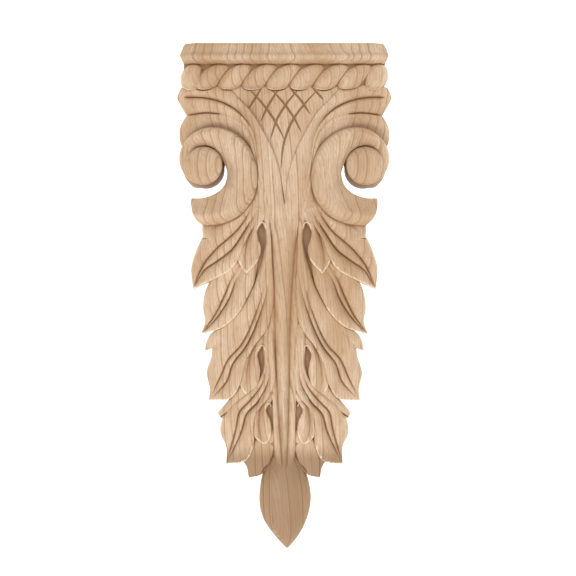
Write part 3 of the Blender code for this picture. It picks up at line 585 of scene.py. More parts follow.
# Small laps stand under the upper edges of the leaves, and a plain petal under the last tier.
# They are left almost flat, with no vein, because little more than their tips show.
LAPS = {
    "upper_lap": [
        [(-26.5, 54, 11.5), (-40, 51, 11), (-49, 46.5, 10.5), (-49.8, 40.5, 10), (-48.3, 36, 9.5)],
        [(-24.5, 49, 11.5), (-34, 43, 11), (-41.5, 39, 10.8), (-48.3, 36, 9.5)],
    ],
    "third_lap": [
        [(-28, -7.5, 10.5), (-37.5, -16, 10), (-45.5, -22, 9.7), (-47.7, -27, 9.3), (-48.5, -31.5, 9)],
        [(-24.5, -13.5, 10.5), (-33, -22, 10), (-39, -27.5, 9.8), (-48.5, -31.5, 9)],
    ],
    "fourth_lap": [
        [(-24, -48, 10.5), (-30, -56.5, 10), (-36.5, -64.5, 9.5), (-40.5, -69, 9)],
        [(-19, -56, 10.5), (-28, -63.5, 10), (-34, -69, 9.5), (-38, -72.3, 9.3), (-40.5, -69, 9)],
    ],
    "end_petal": [
        [(-13.5, -79, 9), (-20.8, -89, 8.5), (-25, -98, 8), (-22.8, -102.5, 8), (-21.8, -108.5, 8)],
        [(-5, -79, 11), (-6.3, -91, 10), (-9.9, -101, 9.5), (-13.5, -106, 9), (-21.8, -108.5, 8)],
    ],
}
LAP_CROWNS = (0.9,)
for name, rails in LAPS.items():
    pair(name, ribbed(rails, LAP_CROWNS))

# The inner lobe of each leaf curls up by the stem and is hollowed with a gouge.
# Its rails are its border with the leaf, the low line of its hollow, its ridge and its edge beside the stem.
LOBES = {
    "upper_lobe": [
        [(-18.5, 55, 14), (-21.8, 42.7, 14.6), (-24.8, 35.6, 15), (-26.6, 29.6, 15), (-27.8, 23.9, 15),
         (-25.6, 19, 15.1), (-22.7, 15.5, 15)],
        [(-17.6, 55, 14), (-20.6, 41, 13.8), (-23, 32, 13.9), (-24, 24.8, 14.2), (-22.7, 15.5, 15)],
        [(-15.6, 55, 14.2), (-17.9, 41, 15.8), (-19.2, 32, 16.2), (-19.8, 24.8, 16), (-22.7, 15.5, 15)],
        [(-11.5, 55, 14.4), (-12.3, 47.8, 15), (-16.3, 40.5, 15.2), (-15.8, 36.8, 15.4), (-14, 30.8, 15.6),
         (-14.6, 26, 15.6), (-17.6, 20.6, 15.4), (-22.7, 15.5, 15)],
    ],
    "third_lobe": [
        [(-17, -21, 13), (-20.4, -26.5, 13.6), (-22.9, -33, 13.2), (-24.4, -40, 12.6), (-25.4, -47.1, 12),
         (-26.6, -51.5, 11.6), (-24.4, -56.2, 11.2), (-21.8, -59.1, 11)],
        [(-15.6, -21, 13), (-20.6, -33.9, 12.8), (-22.4, -41.1, 12.2), (-23, -48.3, 11.8),
         (-21.8, -59.1, 11)],
        [(-13.8, -21, 13), (-17.8, -33.9, 15), (-18.4, -41.1, 14.6), (-19, -48.3, 13.6),
         (-21.8, -59.1, 11)],
        [(-10.8, -20, 13), (-12.3, -26.6, 14.4), (-16.1, -33, 14.4), (-15.2, -38.1, 14.2),
         (-14.4, -42.5, 13.8), (-15.6, -49.5, 13.2), (-18.4, -55.2, 12), (-21.8, -59.1, 11)],
    ],
    "fourth_lobe": [
        [(-11, -54, 12.6), (-14.8, -60.5, 13.2), (-17.4, -68, 12.8), (-18.2, -75.2, 12.2),
         (-18.4, -82, 11.5), (-15.6, -85.6, 11), (-11.6, -88.1, 10.6)],
        [(-9.4, -54, 12.6), (-14.4, -66, 12.2), (-15.6, -75.2, 11.6), (-14.8, -82, 11.1),
         (-11.6, -88.1, 10.6)],
        [(-7.8, -54, 12.6), (-12.4, -66, 14.2), (-12, -75.2, 14), (-11.2, -82, 12.8), (-11.6, -88.1, 10.6)],
        [(-5.0, -54, 12.6), (-7.2, -60.6, 14), (-10.9, -66.5, 13.8), (-8.6, -72.5, 13.6),
         (-7.7, -77.5, 13.2), (-8.8, -84, 12), (-11.6, -88.1, 10.6)],
    ],
}
LOBE_CROWNS = (-0.2, 0.2, 0.4)
LOBE_SOFT_RIM = (0.4, 0.5)
LOBE_VALLEY = (1.0, 1.5, 2.4, 0.55, (0.1, 0.4, 0.8, 1.0))
LOBE_RIMS = (((0.70, 1.2),), ((0.0, 0.22), (0.66, 1.2)))
for name, rails in LOBES.items():
    pair(name, ribbed(rails, LOBE_CROWNS, (LOBE_VALLEY, None), (LOBE_SOFT_RIM, CRISP_RIM), LOBE_RIMS))

# Each hollow keeps a pale, raised lip around its upper end, beside the lobe that it sets free.
# It is a thin ridge that the gouge leaves where it turns, and its torn fibre is not sanded off.
HOLLOW_LIPS = {
    "upper_lip": [(-16.5, 41.5, 15.8), (-15.8, 44.7, 15.8), (-13.4, 46.6, 16), (-11.4, 45.2, 16.2),
                  (-10.7, 42, 16.2)],
    "third_lip": [(-16.2, -31.5, 15), (-15.5, -28.6, 15.3), (-13.6, -27, 15.6), (-11.9, -28.2, 15.8),
                  (-11.4, -30.8, 15.8)],
    "fourth_lip": [(-11.5, -65.5, 14.4), (-11, -62.8, 14.8), (-9.6, -61.7, 15.2), (-8.2, -62.6, 15.4),
                   (-7.8, -64.4, 15.4)],
}
# The inner side of a lip is its outer side drawn in to this share.
LIP_SHARE = 0.72
LIP_CROWNS = (0.3,)
LIP_RIM = (0.4, 0.3)
ALL_ALONG = ((-1, 2),)
for name, rail in HOLLOW_LIPS.items():
    outside = np.array(rail)
    centre = outside.mean(axis=0) * (1, 1, 0)
    inside = centre + (outside - centre) * (LIP_SHARE, LIP_SHARE, 1)
    lip = ribbed([outside, inside], LIP_CROWNS, rims=(LIP_RIM, LIP_RIM), pale=(ALL_ALONG, ALL_ALONG))
    pair(name, lip)

# The arms sweep up from the trunk and out to the sides, over ribs that end at the sides as a fan.
# Their rails are the inner edge, two cuts, a crest and the cove that the scroll turns in.
ARM = [
    [(4, 26, 12.5), (2.4, 44, 14.2), (-0.4, 60, 15.5), (-2.6, 76, 16.8), (-7.3, 90, 17.8),
     (-13.3, 101.5, 18.3), (-20.4, 112.7, 18.2), (-26.4, 119, 17.2), (-33.5, 126.5, 15.4), (-46.7, 129, 15),
     (-61.8, 127.5, 14.4)],
    [(-5.6, 26, 12), (-7.4, 44, 14.4), (-10.4, 59.5, 15.4), (-13.4, 71.5, 15.3), (-15.8, 84.5, 15),
     (-20, 103, 15), (-26.5, 111.5, 15), (-35.5, 117.5, 15), (-47.6, 121, 14.5), (-56.5, 121.4, 14.5),
     (-64.7, 121, 14)],
    [(-7.6, 33, 12), (-8.8, 44, 13.4), (-12.2, 59.5, 15.5), (-15.2, 71.5, 14.8), (-17, 84.5, 14.5),
     (-21.8, 101, 14), (-27.8, 107.5, 14), (-35, 110.5, 14), (-44.6, 112, 13.5), (-58.9, 111, 12.5)],
    [(-9, 38, 12), (-10.6, 46, 13), (-14.4, 58.5, 15), (-17, 71.5, 14.2), (-18.8, 84.5, 14),
     (-23, 97.5, 14), (-28.4, 104.5, 14), (-35.6, 108, 14), (-45.8, 108.8, 14), (-54.3, 106.5, 13.5),
     (-63.4, 100, 12.5)],
    [(-10.4, 42, 12), (-12.4, 48, 12.5), (-17.6, 57.5, 13), (-19.4, 73, 12), (-21.2, 85.5, 11.5),
     (-25.6, 94.5, 11.5), (-32.6, 99.8, 11.5), (-40.4, 102.2, 11.5), (-51.1, 100.7, 11.5), (-61.8, 92, 11)],
]
ARM_CROWNS = (1.2, 1.0, 0.5, 0.0)
UPPER_CUT = (1.7, 1.0, 1.8, 1.0, (0.58, 0.76, 0.955, 0.965))
LOWER_CUT = (1.3, 0.8, 1.2, 1.0, (0.80, 0.86, 0.97, 1.0))
ARM_ENDS = (0.2, 0.4, 1.3, 0.8)
arm_cuts = (UPPER_CUT, LOWER_CUT, None)
pair("arm", ribbed(ARM, ARM_CROWNS, arm_cuts, (CRISP_RIM, CRISP_RIM), open_tip=True, ends=ARM_ENDS))

# Each scroll is a band that turns in on itself from an open tail and runs into a round, domed eye.
# It is drawn about the eye: at each angle, in degrees from the +X side, it has an outer and an inner edge.
EYE_PLACE = (-48.3, 79.3)
EYE_RADIUS = 11.2
# Up its foot: the radius where it runs into the wood, the radius in the open gap, and the depth.
EYE_FOOT = [(13.1, 11.5, 6.0), (13.0, 11.5, 11.0), (12.5, 11.5, 15.0), (11.8, 11.4, 18.0)]
# The open gap beside the eye: the angle of its middle, and how far from it, as a cosine, the gap shuts.
GAP_MIDDLE = -50.0
GAP_SHUTS = 0.25
GAP_FADE = 0.3
# The eye's foot is browned with painted shade and burnish, with more painted shadow where the gap opens
# beside it.
FOOT_SHADE_AND_BURNISH = 0.9
GAP_SHADOWING = 0.7
EYE_RIM_DEPTH = 19.5
EYE_CROWN_DEPTH = 23.5
SCROLL_OUTER = [(-108, 35.0), (-90, 35.3), (-45, 36.3), (0, 32.0), (45, 27.7), (90, 23.1), (135, 17.7),
                (180, 13.5), (225, 11.4)]
SCROLL_INNER = [(-110, 19.9), (-87, 18.4), (-64, 17.4), (-45, 16.6), (-23, 15.0), (-11, 14.2), (0, 13.1),
                (10, 12.5), (45, 12.4), (90, 12.6), (135, 11.0), (160, 8.4), (225, 5.0)]
# How far round its tail goes at shares of the way across, from its outer edge to its inner edge.
SCROLL_TAIL = [(0.0, -90.5), (0.12, -95.2), (0.25, -99.3), (0.42, -103.0), (0.62, -106.2), (0.83, -109.4),
               (0.95, -110.6), (1.0, -109.6)]
SCROLL_HEAD = 225.0
# Its height at shares of the way across: at the scooped tail, where it is open, and turned over the eye.
TAIL_BAND = [(0.0, 14.6), (0.08, 17.2), (0.2, 19.3), (0.36, 20.2), (0.5, 19.4), (0.75, 17.6), (1.0, 16.4)]
OPEN_BAND = [(0.0, 15.5), (0.08, 18.3), (0.2, 20.1), (0.36, 20.9), (0.55, 20.2), (0.8, 17.6), (1.0, 14.2)]
TURNED_BAND = [(0.0, 15.5), (0.08, 18.3), (0.2, 20.1), (0.36, 20.6), (0.5, 20.2), (0.75, 19.0), (1.0, 17.0)]
TAIL_END, TAIL_START = -70.0, -25.0
TURN_START, TURN_END = 0.0, 50.0
# The brown line of painted shade in the crevice around its outer edge, and where the band runs into the eye.
SCROLL_LINE = 0.9
HEAD_START = 110.0
HEAD_END = 165.0
SCROLL_ROWS = 150
SCROLL_COLUMNS = 26
EYE_RINGS = 12
EYE_SIDES = 72
TABLE_STEPS = 400


def across_at(table, value):
    """Reads a table of pairs at values between them, smoothly."""
    keys = np.array([pair[0] for pair in table], float)
    order = np.argsort(keys)
    points = [(table[k][0], table[k][1], 0.0) for k in order]
    fine = curve(points, TABLE_STEPS)
    return np.interp(value, fine[:, 0], fine[:, 1])


def eye_depth(share):
    """The depth of the eye's dome at a share of its radius."""
    return EYE_RIM_DEPTH + (EYE_CROWN_DEPTH - EYE_RIM_DEPTH) * np.sqrt(np.clip(1 - share**2, 0, 1))


share = np.linspace(0, 1, SCROLL_COLUMNS)[None, :]
way = np.linspace(0, 1, SCROLL_ROWS + 1)[:, None]
start = across_at(SCROLL_TAIL, share)
angle = start + (SCROLL_HEAD - start) * way
outer, inner = across_at(SCROLL_OUTER, angle), across_at(SCROLL_INNER, angle)
radius = outer + (inner - outer) * share
into_tail = np.clip((TAIL_START - angle) / (TAIL_START - TAIL_END), 0, 1)
turned_over = np.clip((angle - TURN_START) / (TURN_END - TURN_START), 0, 1)
into_eye = np.clip((angle - HEAD_START) / (HEAD_END - HEAD_START), 0, 1)
depth = across_at(OPEN_BAND, share) * (1 - turned_over) + across_at(TURNED_BAND, share) * turned_over
depth = depth * (1 - into_tail) + across_at(TAIL_BAND, share) * into_tail
depth = depth * (1 - into_eye) + eye_depth(radius / outer) * into_eye
turn = np.radians(angle)
band = np.stack([EYE_PLACE[0] + radius * np.cos(turn), EYE_PLACE[1] + radius * np.sin(turn), depth], axis=2)
outer_line = np.clip(1 - (outer - radius) / SCROLL_LINE, 0, 1) * (1 - into_eye)
pair("scroll", (band, np.stack([outer_line, 0 * outer_line], axis=2)))

ring_share = np.cos(np.linspace(0, math.pi / 2, EYE_RINGS + 1))
turn = np.linspace(0, 2 * math.pi, EYE_SIDES, endpoint=False)[None, :]
in_gap = np.clip((np.cos(turn - math.radians(GAP_MIDDLE)) - GAP_SHUTS) / GAP_FADE, 0, 1)
foot_radius = [closed + (opened - closed) * in_gap for closed, opened, _ in EYE_FOOT]
radius = np.vstack([*foot_radius, EYE_RADIUS * ring_share[:, None] + 0 * turn])
depth = np.concatenate([[depth for *_, depth in EYE_FOOT], eye_depth(ring_share)])[:, None]
eye = np.stack([EYE_PLACE[0] + radius * np.cos(turn), EYE_PLACE[1] + radius * np.sin(turn),
                depth + 0 * turn], axis=2)
eye_marks = np.zeros((*eye.shape[:2], 2))
eye_marks[: len(EYE_FOOT), :, 0] = FOOT_SHADE_AND_BURNISH + GAP_SHADOWING * in_gap
pair("eye", (eye, eye_marks), closed=True)

# The panel between the arms is a flat field, crossed with short cuts of a V gouge that run out to nothing.
# The cuts are swept along their lines and taken out of the panel before the arms cover its edges.
PANEL_DEPTH = 15.0
CUT_RADIUS = 0.8
# The gouge cuts are browned for their burnish and for the painted shade in them.
CUT_BROWN = 0.8
CUT_ROWS = 14
PANEL = [(-39, 129), (39, 129), (20.5, 112), (9.5, 94), (3.5, 74), (1, 54), (-2, 74), (-9, 92), (-21, 112)]
PANEL_CUTS = [
    [(-13.5, 127), (-21.5, 114)],
    [(-3.5, 126), (-9.8, 115.8), (-14.2, 106.5)],
    [(8.5, 126), (0.4, 116), (-4.4, 108), (-8.4, 95.5)],
    [(20.5, 126), (11.5, 116.4), (6.1, 109.2), (1.9, 100.8), (-0.8, 91.2), (-2, 78.5)],
    [(-21, 126), (-11.6, 115.5), (-5.6, 106.8), (0.2, 95.5)],
    [(-8.5, 126.5), (0.1, 117), (6.2, 108), (10.2, 100)],
    [(3, 127), (9.4, 120), (15.6, 110.8)],
    [(16.5, 127.5), (23.5, 119.5)],
]


def new_tree(name, sizes):
    """An empty Geometry Nodes tree with a geometry input, an input for each size, and a geometry output."""
    tree = bpy.data.node_groups.new(name, "GeometryNodeTree")
    tree.interface.new_socket("Geometry", in_out="INPUT", socket_type="NodeSocketGeometry")
    for size, kind in sizes:
        tree.interface.new_socket(size, in_out="INPUT", socket_type=kind)
    tree.interface.new_socket("Geometry", in_out="OUTPUT", socket_type="NodeSocketGeometry")
    given = tree.nodes.new("NodeGroupInput")
    result = tree.nodes.new("NodeGroupOutput")
    return tree, given.outputs, result.inputs[0]


def chained(tree, kind, geometry=None, **settings):
    """Adds a node, feeds it a geometry, and sets its inputs, named with _ for a space."""
    node = tree.nodes.new(kind)
    if geometry is not None:
        tree.links.new(geometry, node.inputs[0])
    for name, value in settings.items():
        socket = node.inputs[name.replace("_", " ")]
        if isinstance(value, bpy.types.NodeSocket):
            tree.links.new(value, socket)
        else:
            socket.default_value = value
    return node


def shells(mesh):
    """The separate shells of a mesh, each as the sorted numbers of its points."""
    found, seen = [], set()
    for first in mesh.verts:
        if first.index in seen:
            continue
        shell, waiting = [], [first]
        seen.add(first.index)
        while waiting:
            vert = waiting.pop()
            shell.append(vert.index)
            for edge in vert.link_edges:
                other = edge.other_vert(vert)
                if other.index not in seen:
                    seen.add(other.index)
                    waiting.append(other)
        found.append(sorted(shell))
    return found


def grown(name, base, tree, sizes):
    """The closed forms that a tree makes on a base object, with the tool marks on their points."""
    holder = bpy.data.objects.new(name, base)
    bpy.context.scene.collection.objects.link(holder)
    modifier = holder.modifiers.new(name, "NODES")
    modifier.node_group = tree
    for item in tree.interface.items_tree:
        if item.in_out == "INPUT" and item.name in sizes:
            modifier[item.identifier] = sizes[item.name]
    bpy.context.view_layer.update()
    evaluated = holder.evaluated_get(bpy.context.evaluated_depsgraph_get())
    data = bpy.data.meshes.new_from_object(evaluated)
    bpy.data.objects.remove(holder)
    marks = np.empty((len(data.vertices), 3), np.float32)
    data.attributes[TOOL_MARKS].data.foreach_get("vector", marks.ravel())
    mesh = bmesh.new()
    mesh.from_mesh(data)
    mesh.verts.ensure_lookup_table()
    loose = []
    for shell in shells(mesh):
        number = {index: k for k, index in enumerate(shell)}
        verts = [tuple(mesh.verts[index].co) for index in number]
        own = [face for face in mesh.faces if face.verts[0].index in number]
        faces = [tuple(number[vert.index] for vert in face.verts) for face in own]
        loose.append((verts, faces, marks[list(number), :2]))
    mesh.free()
    return [closed_form("%s_%d" % (name, k), *form) for k, form in enumerate(loose)]


def join(piece, others, operation, solver="MANIFOLD"):
    """Joins forms to a piece, or takes them out of it, and leaves it a plain mesh."""
    gathered = bpy.data.collections.new("tools")
    for other in others:
        gathered.objects.link(other)
    modifier = piece.modifiers.new(operation.lower(), "BOOLEAN")
    modifier.operation = operation
    modifier.operand_type = "COLLECTION"
    modifier.collection = gathered
    modifier.solver = solver
    bpy.context.view_layer.update()
    evaluated = piece.evaluated_get(bpy.context.evaluated_depsgraph_get())
    data = bpy.data.meshes.new_from_object(evaluated)
    piece.modifiers.clear()
    piece.data = data
    for other in others:
        bpy.data.objects.remove(other)
    bpy.data.collections.remove(gathered)
    return piece


def marked(tree, geometry, cut, rim):
    """Keeps tool marks on the points of a geometry."""
    pair_of = tree.nodes.new("ShaderNodeCombineXYZ")
    for socket, value in zip(pair_of.inputs, (cut, rim)):
        if isinstance(value, bpy.types.NodeSocket):
            tree.links.new(value, socket)
        else:
            socket.default_value = value
    node = chained(tree, "GeometryNodeStoreNamedAttribute", geometry, Name=TOOL_MARKS)
    node.data_type = "FLOAT_VECTOR"
    tree.links.new(pair_of.outputs[0], next(s for s in node.inputs if s.name == "Value"))
    return node.outputs[0]


def gouge_cuts():
    """A tree that sweeps a square stood on its corner along each line, swelling from its ends."""
    sizes = (("Cut radius", "NodeSocketFloat"), ("Material", "NodeSocketMaterial"))
    tree, given, result = new_tree("gouge cuts", sizes)
    even = chained(tree, "GeometryNodeResampleCurve", given["Geometry"], Count=CUT_ROWS).outputs[0]
    along = tree.nodes.new("GeometryNodeSplineParameter").outputs["Factor"]
    swell = worked_out(tree, "SINE", worked_out(tree, "MULTIPLY", along, math.pi))
    swell = worked_out(tree, "POWER", worked_out(tree, "MAXIMUM", swell, 0.03), 0.45)
    square = chained(tree, "GeometryNodeCurvePrimitiveCircle", Resolution=4,
                     Radius=given["Cut radius"]).outputs[0]
    upright = chained(tree, "GeometryNodeSetCurveNormal", even)
    upright.mode = "Z_UP"
    swept = chained(tree, "GeometryNodeCurveToMesh", upright.outputs[0], Scale=swell, Fill_Caps=True)
    tree.links.new(square, swept.inputs["Profile Curve"])
    browned = marked(tree, swept.outputs[0], CUT_BROWN, 0.0)
    real = chained(tree, "GeometryNodeRealizeInstances", browned).outputs[0]
    tinted = chained(tree, "GeometryNodeSetMaterial", real, Material=given["Material"]).outputs[0]
    tree.links.new(tinted, result)
    return tree


def short_cuts(name, lines):
    """The cutters for a set of short cuts along lines of points."""
    guide = bpy.data.curves.new(name, "CURVE")
    guide.dimensions = "3D"
    for line in lines:
        places = curve(line, 12) * SCALE
        spline = guide.splines.new("POLY")
        spline.points.add(len(places) - 1)
        for point, at in zip(spline.points, places):
            point.co = (*at, 1.0)
    return grown(name, guide, gouge_cuts(), {"Cut radius": CUT_RADIUS * MM, "Material": maple})


panel = from_outline("panel", PANEL, PANEL_DEPTH)
panel_cuts = [[(x, y, PANEL_DEPTH) for x, y in line] for line in PANEL_CUTS]
join(panel, short_cuts("panel_cut", panel_cuts), "DIFFERENCE")

# The rope under the rail is carved in the solid: strands that lean and lap over each other on a core.
# The last strand at each end is shorter and stands more upright.
ROPE_LENGTH = 124.8
ROPE_HEIGHT = 15.3
ROPE_CREST_DEPTH = 20.9
ROPE_CORE_DEPTH = 12.5
ROPE_CORE_SETBACK = 2.4
# Under the rail the strands lie in a channel that is not cut so deep, painted brown as the shadow under the
# rail.
ROPE_BED_DEPTH = 17.2
ROPE_BED_HEIGHT = 3.6
STRAND_PITCH = 14.3
STRAND_WIDTH = 19.6
JOINT_DROP = 6.0
EDGE_DROP = 3.9
STRAND_LEAN = 0.72
STRAND_LAP = 0.9
STRAND_ROUNDNESS = 2.2
STRANDS = 9
RAIL_HEIGHT = 11.4
ROPE_MIDDLE = DRAWN_SIZE[1] / 2 - RAIL_HEIGHT - ROPE_HEIGHT / 2


def rope_strands():
    """A tree that stands a box at each strand's place and shapes it into a leaning, lapped strand."""
    sizes = ("Pitch", "Width", "Height", "Depth", "Joint drop", "Edge drop", "Lean", "Lap", "Half length",
             "Sunk", "Up")
    sockets = [("Strands", "NodeSocketInt"), *((size, "NodeSocketFloat") for size in sizes)]
    tree, given, result = new_tree("rope strands", [*sockets, ("Material", "NodeSocketMaterial")])

    def calc(operation, *values):
        return worked_out(tree, operation, *values)

    box = chained(tree, "GeometryNodeMeshCube", Vertices_X=34, Vertices_Y=22, Vertices_Z=2).outputs[0]
    at = tree.nodes.new("GeometryNodeInputPosition").outputs[0]
    kept = chained(tree, "GeometryNodeStoreNamedAttribute", box, Name="unit")
    kept.data_type = "FLOAT_VECTOR"
    tree.links.new(at, next(s for s in kept.inputs if s.name == "Value"))
    line = chained(tree, "GeometryNodeMeshLine", Count=given["Strands"]).outputs[0]
    stood = chained(tree, "GeometryNodeInstanceOnPoints", line, Instance=kept.outputs[0]).outputs[0]
    named = chained(tree, "GeometryNodeStoreNamedAttribute", stood, Name="strand")
    named.domain = "INSTANCE"
    named.data_type = "FLOAT"
    index = tree.nodes.new("GeometryNodeInputIndex").outputs[0]
    tree.links.new(index, next(s for s in named.inputs if s.name == "Value"))
    real = chained(tree, "GeometryNodeRealizeInstances", named.outputs[0]).outputs[0]

    unit = tree.nodes.new("GeometryNodeInputNamedAttribute")
    unit.data_type = "FLOAT_VECTOR"
    unit.inputs["Name"].default_value = "unit"
    parts = tree.nodes.new("ShaderNodeSeparateXYZ")
    tree.links.new(unit.outputs[0], parts.inputs[0])
    number = tree.nodes.new("GeometryNodeInputNamedAttribute")
    number.data_type = "FLOAT"
    number.inputs["Name"].default_value = "strand"
    u, v = calc("MULTIPLY", parts.outputs[0], 2.0), calc("MULTIPLY", parts.outputs[1], 2.0)
    off = calc("SUBTRACT", number.outputs[0], calc("DIVIDE", calc("SUBTRACT", given["Strands"], 1.0), 2.0))
    second_last = calc("SUBTRACT", calc("DIVIDE", given["Strands"], 2.0), 0.9)
    last = calc("GREATER_THAN", calc("ABSOLUTE", off), second_last)
    whole = calc("SUBTRACT", 1.0, last)
    middle = calc("MULTIPLY", off, given["Pitch"])
    half = calc("DIVIDE", given["Width"], 2.0)
    left_over = calc("SUBTRACT", given["Half length"], calc("ABSOLUTE", middle))
    short = calc("DIVIDE", calc("ADD", left_over, half), 2.0)
    short_middle = calc("MULTIPLY", calc("SIGN", middle), calc("SUBTRACT", given["Half length"], short))
    half = calc("ADD", calc("MULTIPLY", half, whole), calc("MULTIPLY", short, last))
    middle = calc("ADD", calc("MULTIPLY", middle, whole), calc("MULTIPLY", short_middle, last))
    lean = calc("MULTIPLY", given["Lean"], calc("ADD", 0.25, calc("MULTIPLY", whole, 0.75)))
    rise = calc("DIVIDE", given["Height"], 2.0)
    flat = calc("SUBTRACT", 1.0, calc("POWER", calc("ABSOLUTE", u), STRAND_ROUNDNESS))
    flat = calc("SQRT", calc("MAXIMUM", flat, 0.02))
    y = calc("MULTIPLY", calc("MULTIPLY", v, rise), flat)
    x = calc("ADD", calc("ADD", middle, calc("MULTIPLY", u, half)), calc("MULTIPLY", y, lean))
    dome_u = calc("POWER", calc("SUBTRACT", 1.0, calc("POWER", calc("ABSOLUTE", u), STRAND_ROUNDNESS)), 0.75)
    dome_v = calc("POWER", calc("SUBTRACT", 1.0, calc("POWER", calc("ABSOLUTE", v), 2.4)), 0.5)
    fall = calc("MULTIPLY", given["Joint drop"], calc("SUBTRACT", 1.0, calc("MAXIMUM", dome_u, 0.0)))
    edge_fall = calc("MULTIPLY", given["Edge drop"], calc("SUBTRACT", 1.0, calc("MAXIMUM", dome_v, 0.0)))
    fall = calc("ADD", fall, edge_fall)
    top = calc("SUBTRACT", given["Depth"], fall)
    top = calc("SUBTRACT", top, calc("MULTIPLY", calc("MULTIPLY", given["Lap"], u), whole))
    face = calc("GREATER_THAN", parts.outputs[2], 0.0)
    under = calc("MULTIPLY", given["Sunk"], calc("SUBTRACT", 1.0, face))
    z = calc("SUBTRACT", calc("MULTIPLY", top, face), under)
    spot = tree.nodes.new("ShaderNodeCombineXYZ")
    for socket, value in zip(spot.inputs, (x, calc("ADD", y, given["Up"]), z)):
        tree.links.new(value, socket)
    shaped = chained(tree, "GeometryNodeSetPosition", real, Position=spot.outputs[0]).outputs[0]
    # The joints between strands are browned with painted shade, and the strands' lower rims take pale fuzz.
    joint = ramped(tree, calc("ADD", calc("ABSOLUTE", u), calc("MULTIPLY", u, 0.11)), 0.64, 0.73)
    open_end = calc("MULTIPLY", last, calc("GREATER_THAN", calc("MULTIPLY", u, middle), 0.0))
    joint = calc("MULTIPLY", joint, calc("SUBTRACT", 1.0, open_end))
    rim = calc("MULTIPLY", ramped(tree, v, -0.84, -0.99), face)
    rim = calc("MULTIPLY", rim, ramped(tree, calc("ABSOLUTE", u), 0.55, 0.80, 1.0, 0.0))
    again = chained(tree, "GeometryNodeRealizeInstances", marked(tree, shaped, joint, rim)).outputs[0]
    tinted = chained(tree, "GeometryNodeSetMaterial", again, Material=given["Material"]).outputs[0]
    tree.links.new(tinted, result)
    return tree


grown("strand", bpy.data.meshes.new("rope base"), rope_strands(), {
    "Strands": STRANDS, "Pitch": STRAND_PITCH * MM, "Width": STRAND_WIDTH * MM, "Height": ROPE_HEIGHT * MM,
    "Depth": ROPE_CREST_DEPTH * MM, "Joint drop": JOINT_DROP * MM, "Edge drop": EDGE_DROP * MM,
    "Lean": STRAND_LEAN, "Lap": STRAND_LAP * MM,
    "Half length": ROPE_LENGTH / 2 * MM, "Sunk": SUNK * MM, "Up": ROPE_MIDDLE * MM, "Material": maple})
core_half = ROPE_LENGTH / 2 - ROPE_CORE_SETBACK
core_top, core_bottom = DRAWN_SIZE[1] / 2 - RAIL_HEIGHT / 2, ROPE_MIDDLE - ROPE_HEIGHT / 2 - SUNK
from_outline("rope_core", [(-core_half, core_bottom), (core_half, core_bottom), (core_half, core_top),
                           (-core_half, core_top)], ROPE_CORE_DEPTH)
bed_top, bed_bottom = DRAWN_SIZE[1] / 2 - RAIL_HEIGHT / 2, ROPE_MIDDLE + ROPE_HEIGHT / 2 - ROPE_BED_HEIGHT
from_outline("rope_bed", [(-core_half, bed_bottom), (core_half, bed_bottom), (core_half, bed_top),
                          (-core_half, bed_top)], ROPE_BED_DEPTH, 1.0)

# The rail along the top is a moulding run on the blank's top edge, with the same profile at its ends.
# Its face leans out to a rounded nose over the rope.
RAIL_LENGTH = 123.4
RAIL_CORNER = 6.0
RAIL_CORNER_DEPTH = 1.8
RAIL_CREASE = 0.7
# Which point along each row of the rail is the crease, painted pale as a highlight, counted from either end.
CREASE_POINT = 3
# Down the rail: the share of its height from the top, and how far the face lies back from the nose.
RAIL_PROFILE = [(0.0, 3.3), (0.03, 2.6), (0.12, 2.1), (0.3, 1.7), (0.5, 1.25), (0.6, 0.7), (0.69, 0.05),
                (0.80, 0.0), (0.88, 0.4), (0.94, 1.3), (1.0, 3.0), (1.04, 5.0)]
# The same way down, how far its ends lie back.
RAIL_END_PROFILE = [(0.0, 3.0), (0.13, 2.1), (0.31, 1.2), (0.53, 0.3), (0.67, 0.0), (0.84, 0.6), (1.0, 2.1),
                    (1.04, 2.6)]

rows = []
for share, setback in curve([(a * RAIL_HEIGHT, b, 0) for a, b in RAIL_PROFILE], 44)[:, :2]:
    half, front = RAIL_LENGTH / 2 - across_at(RAIL_END_PROFILE, share / RAIL_HEIGHT), DRAWN_SIZE[2] - setback
    height = DRAWN_SIZE[1] / 2 - share
    corner = [(half, front - RAIL_CORNER_DEPTH), (half - RAIL_CORNER + RAIL_CREASE, front - 0.2),
              (half - RAIL_CORNER, front), (half - RAIL_CORNER - RAIL_CREASE, front)]
    outline = [(half, -SUNK), *corner, *((-x, z) for x, z in reversed(corner)), (-half, -SUNK)]
    rows.append([(x, height, z) for x, z in outline])
rail_grid = np.array(rows)
count, around = rail_grid.shape[:2]
faces = []
for r in range(count - 1):
    for c in range(around):
        a, b = r * around + c, r * around + (c + 1) % around
        faces.append((a, b, b + around, a + around))
faces += [tuple(range(around)), tuple(range(count * around - 1, (count - 1) * around - 1, -1))]
# The crease is painted pale as a highlight.
crease = np.zeros((count, around, 2))
crease[:, [CREASE_POINT, around - 1 - CREASE_POINT], 1] = 1.0
closed_form("rail", rail_grid.reshape(-1, 3) * SCALE, faces, crease.reshape(-1, 2))

# All the forms are one piece of wood: they are joined, the back is planed flat, and the piece is stood up.
# It is fixed by that flat back, with glue and fine pins, so nothing else holds it.
SMOOTH_ANGLE = math.radians(32)
forms = [form for form in carved_forms.objects if form.name != "ground"]
carving = join(carved_forms.objects["ground"], forms, "UNION")
across, along = DRAWN_SIZE[0], DRAWN_SIZE[1]
plane_path = [(-across, -along), (across, -along), (across, along), (-across, along)]
below = from_outline("below_the_back", plane_path, 0.0)
for vert in below.data.vertices:
    if vert.co.z < -SUNK * MM / 2:
        vert.co.z = -3 * SUNK * MM
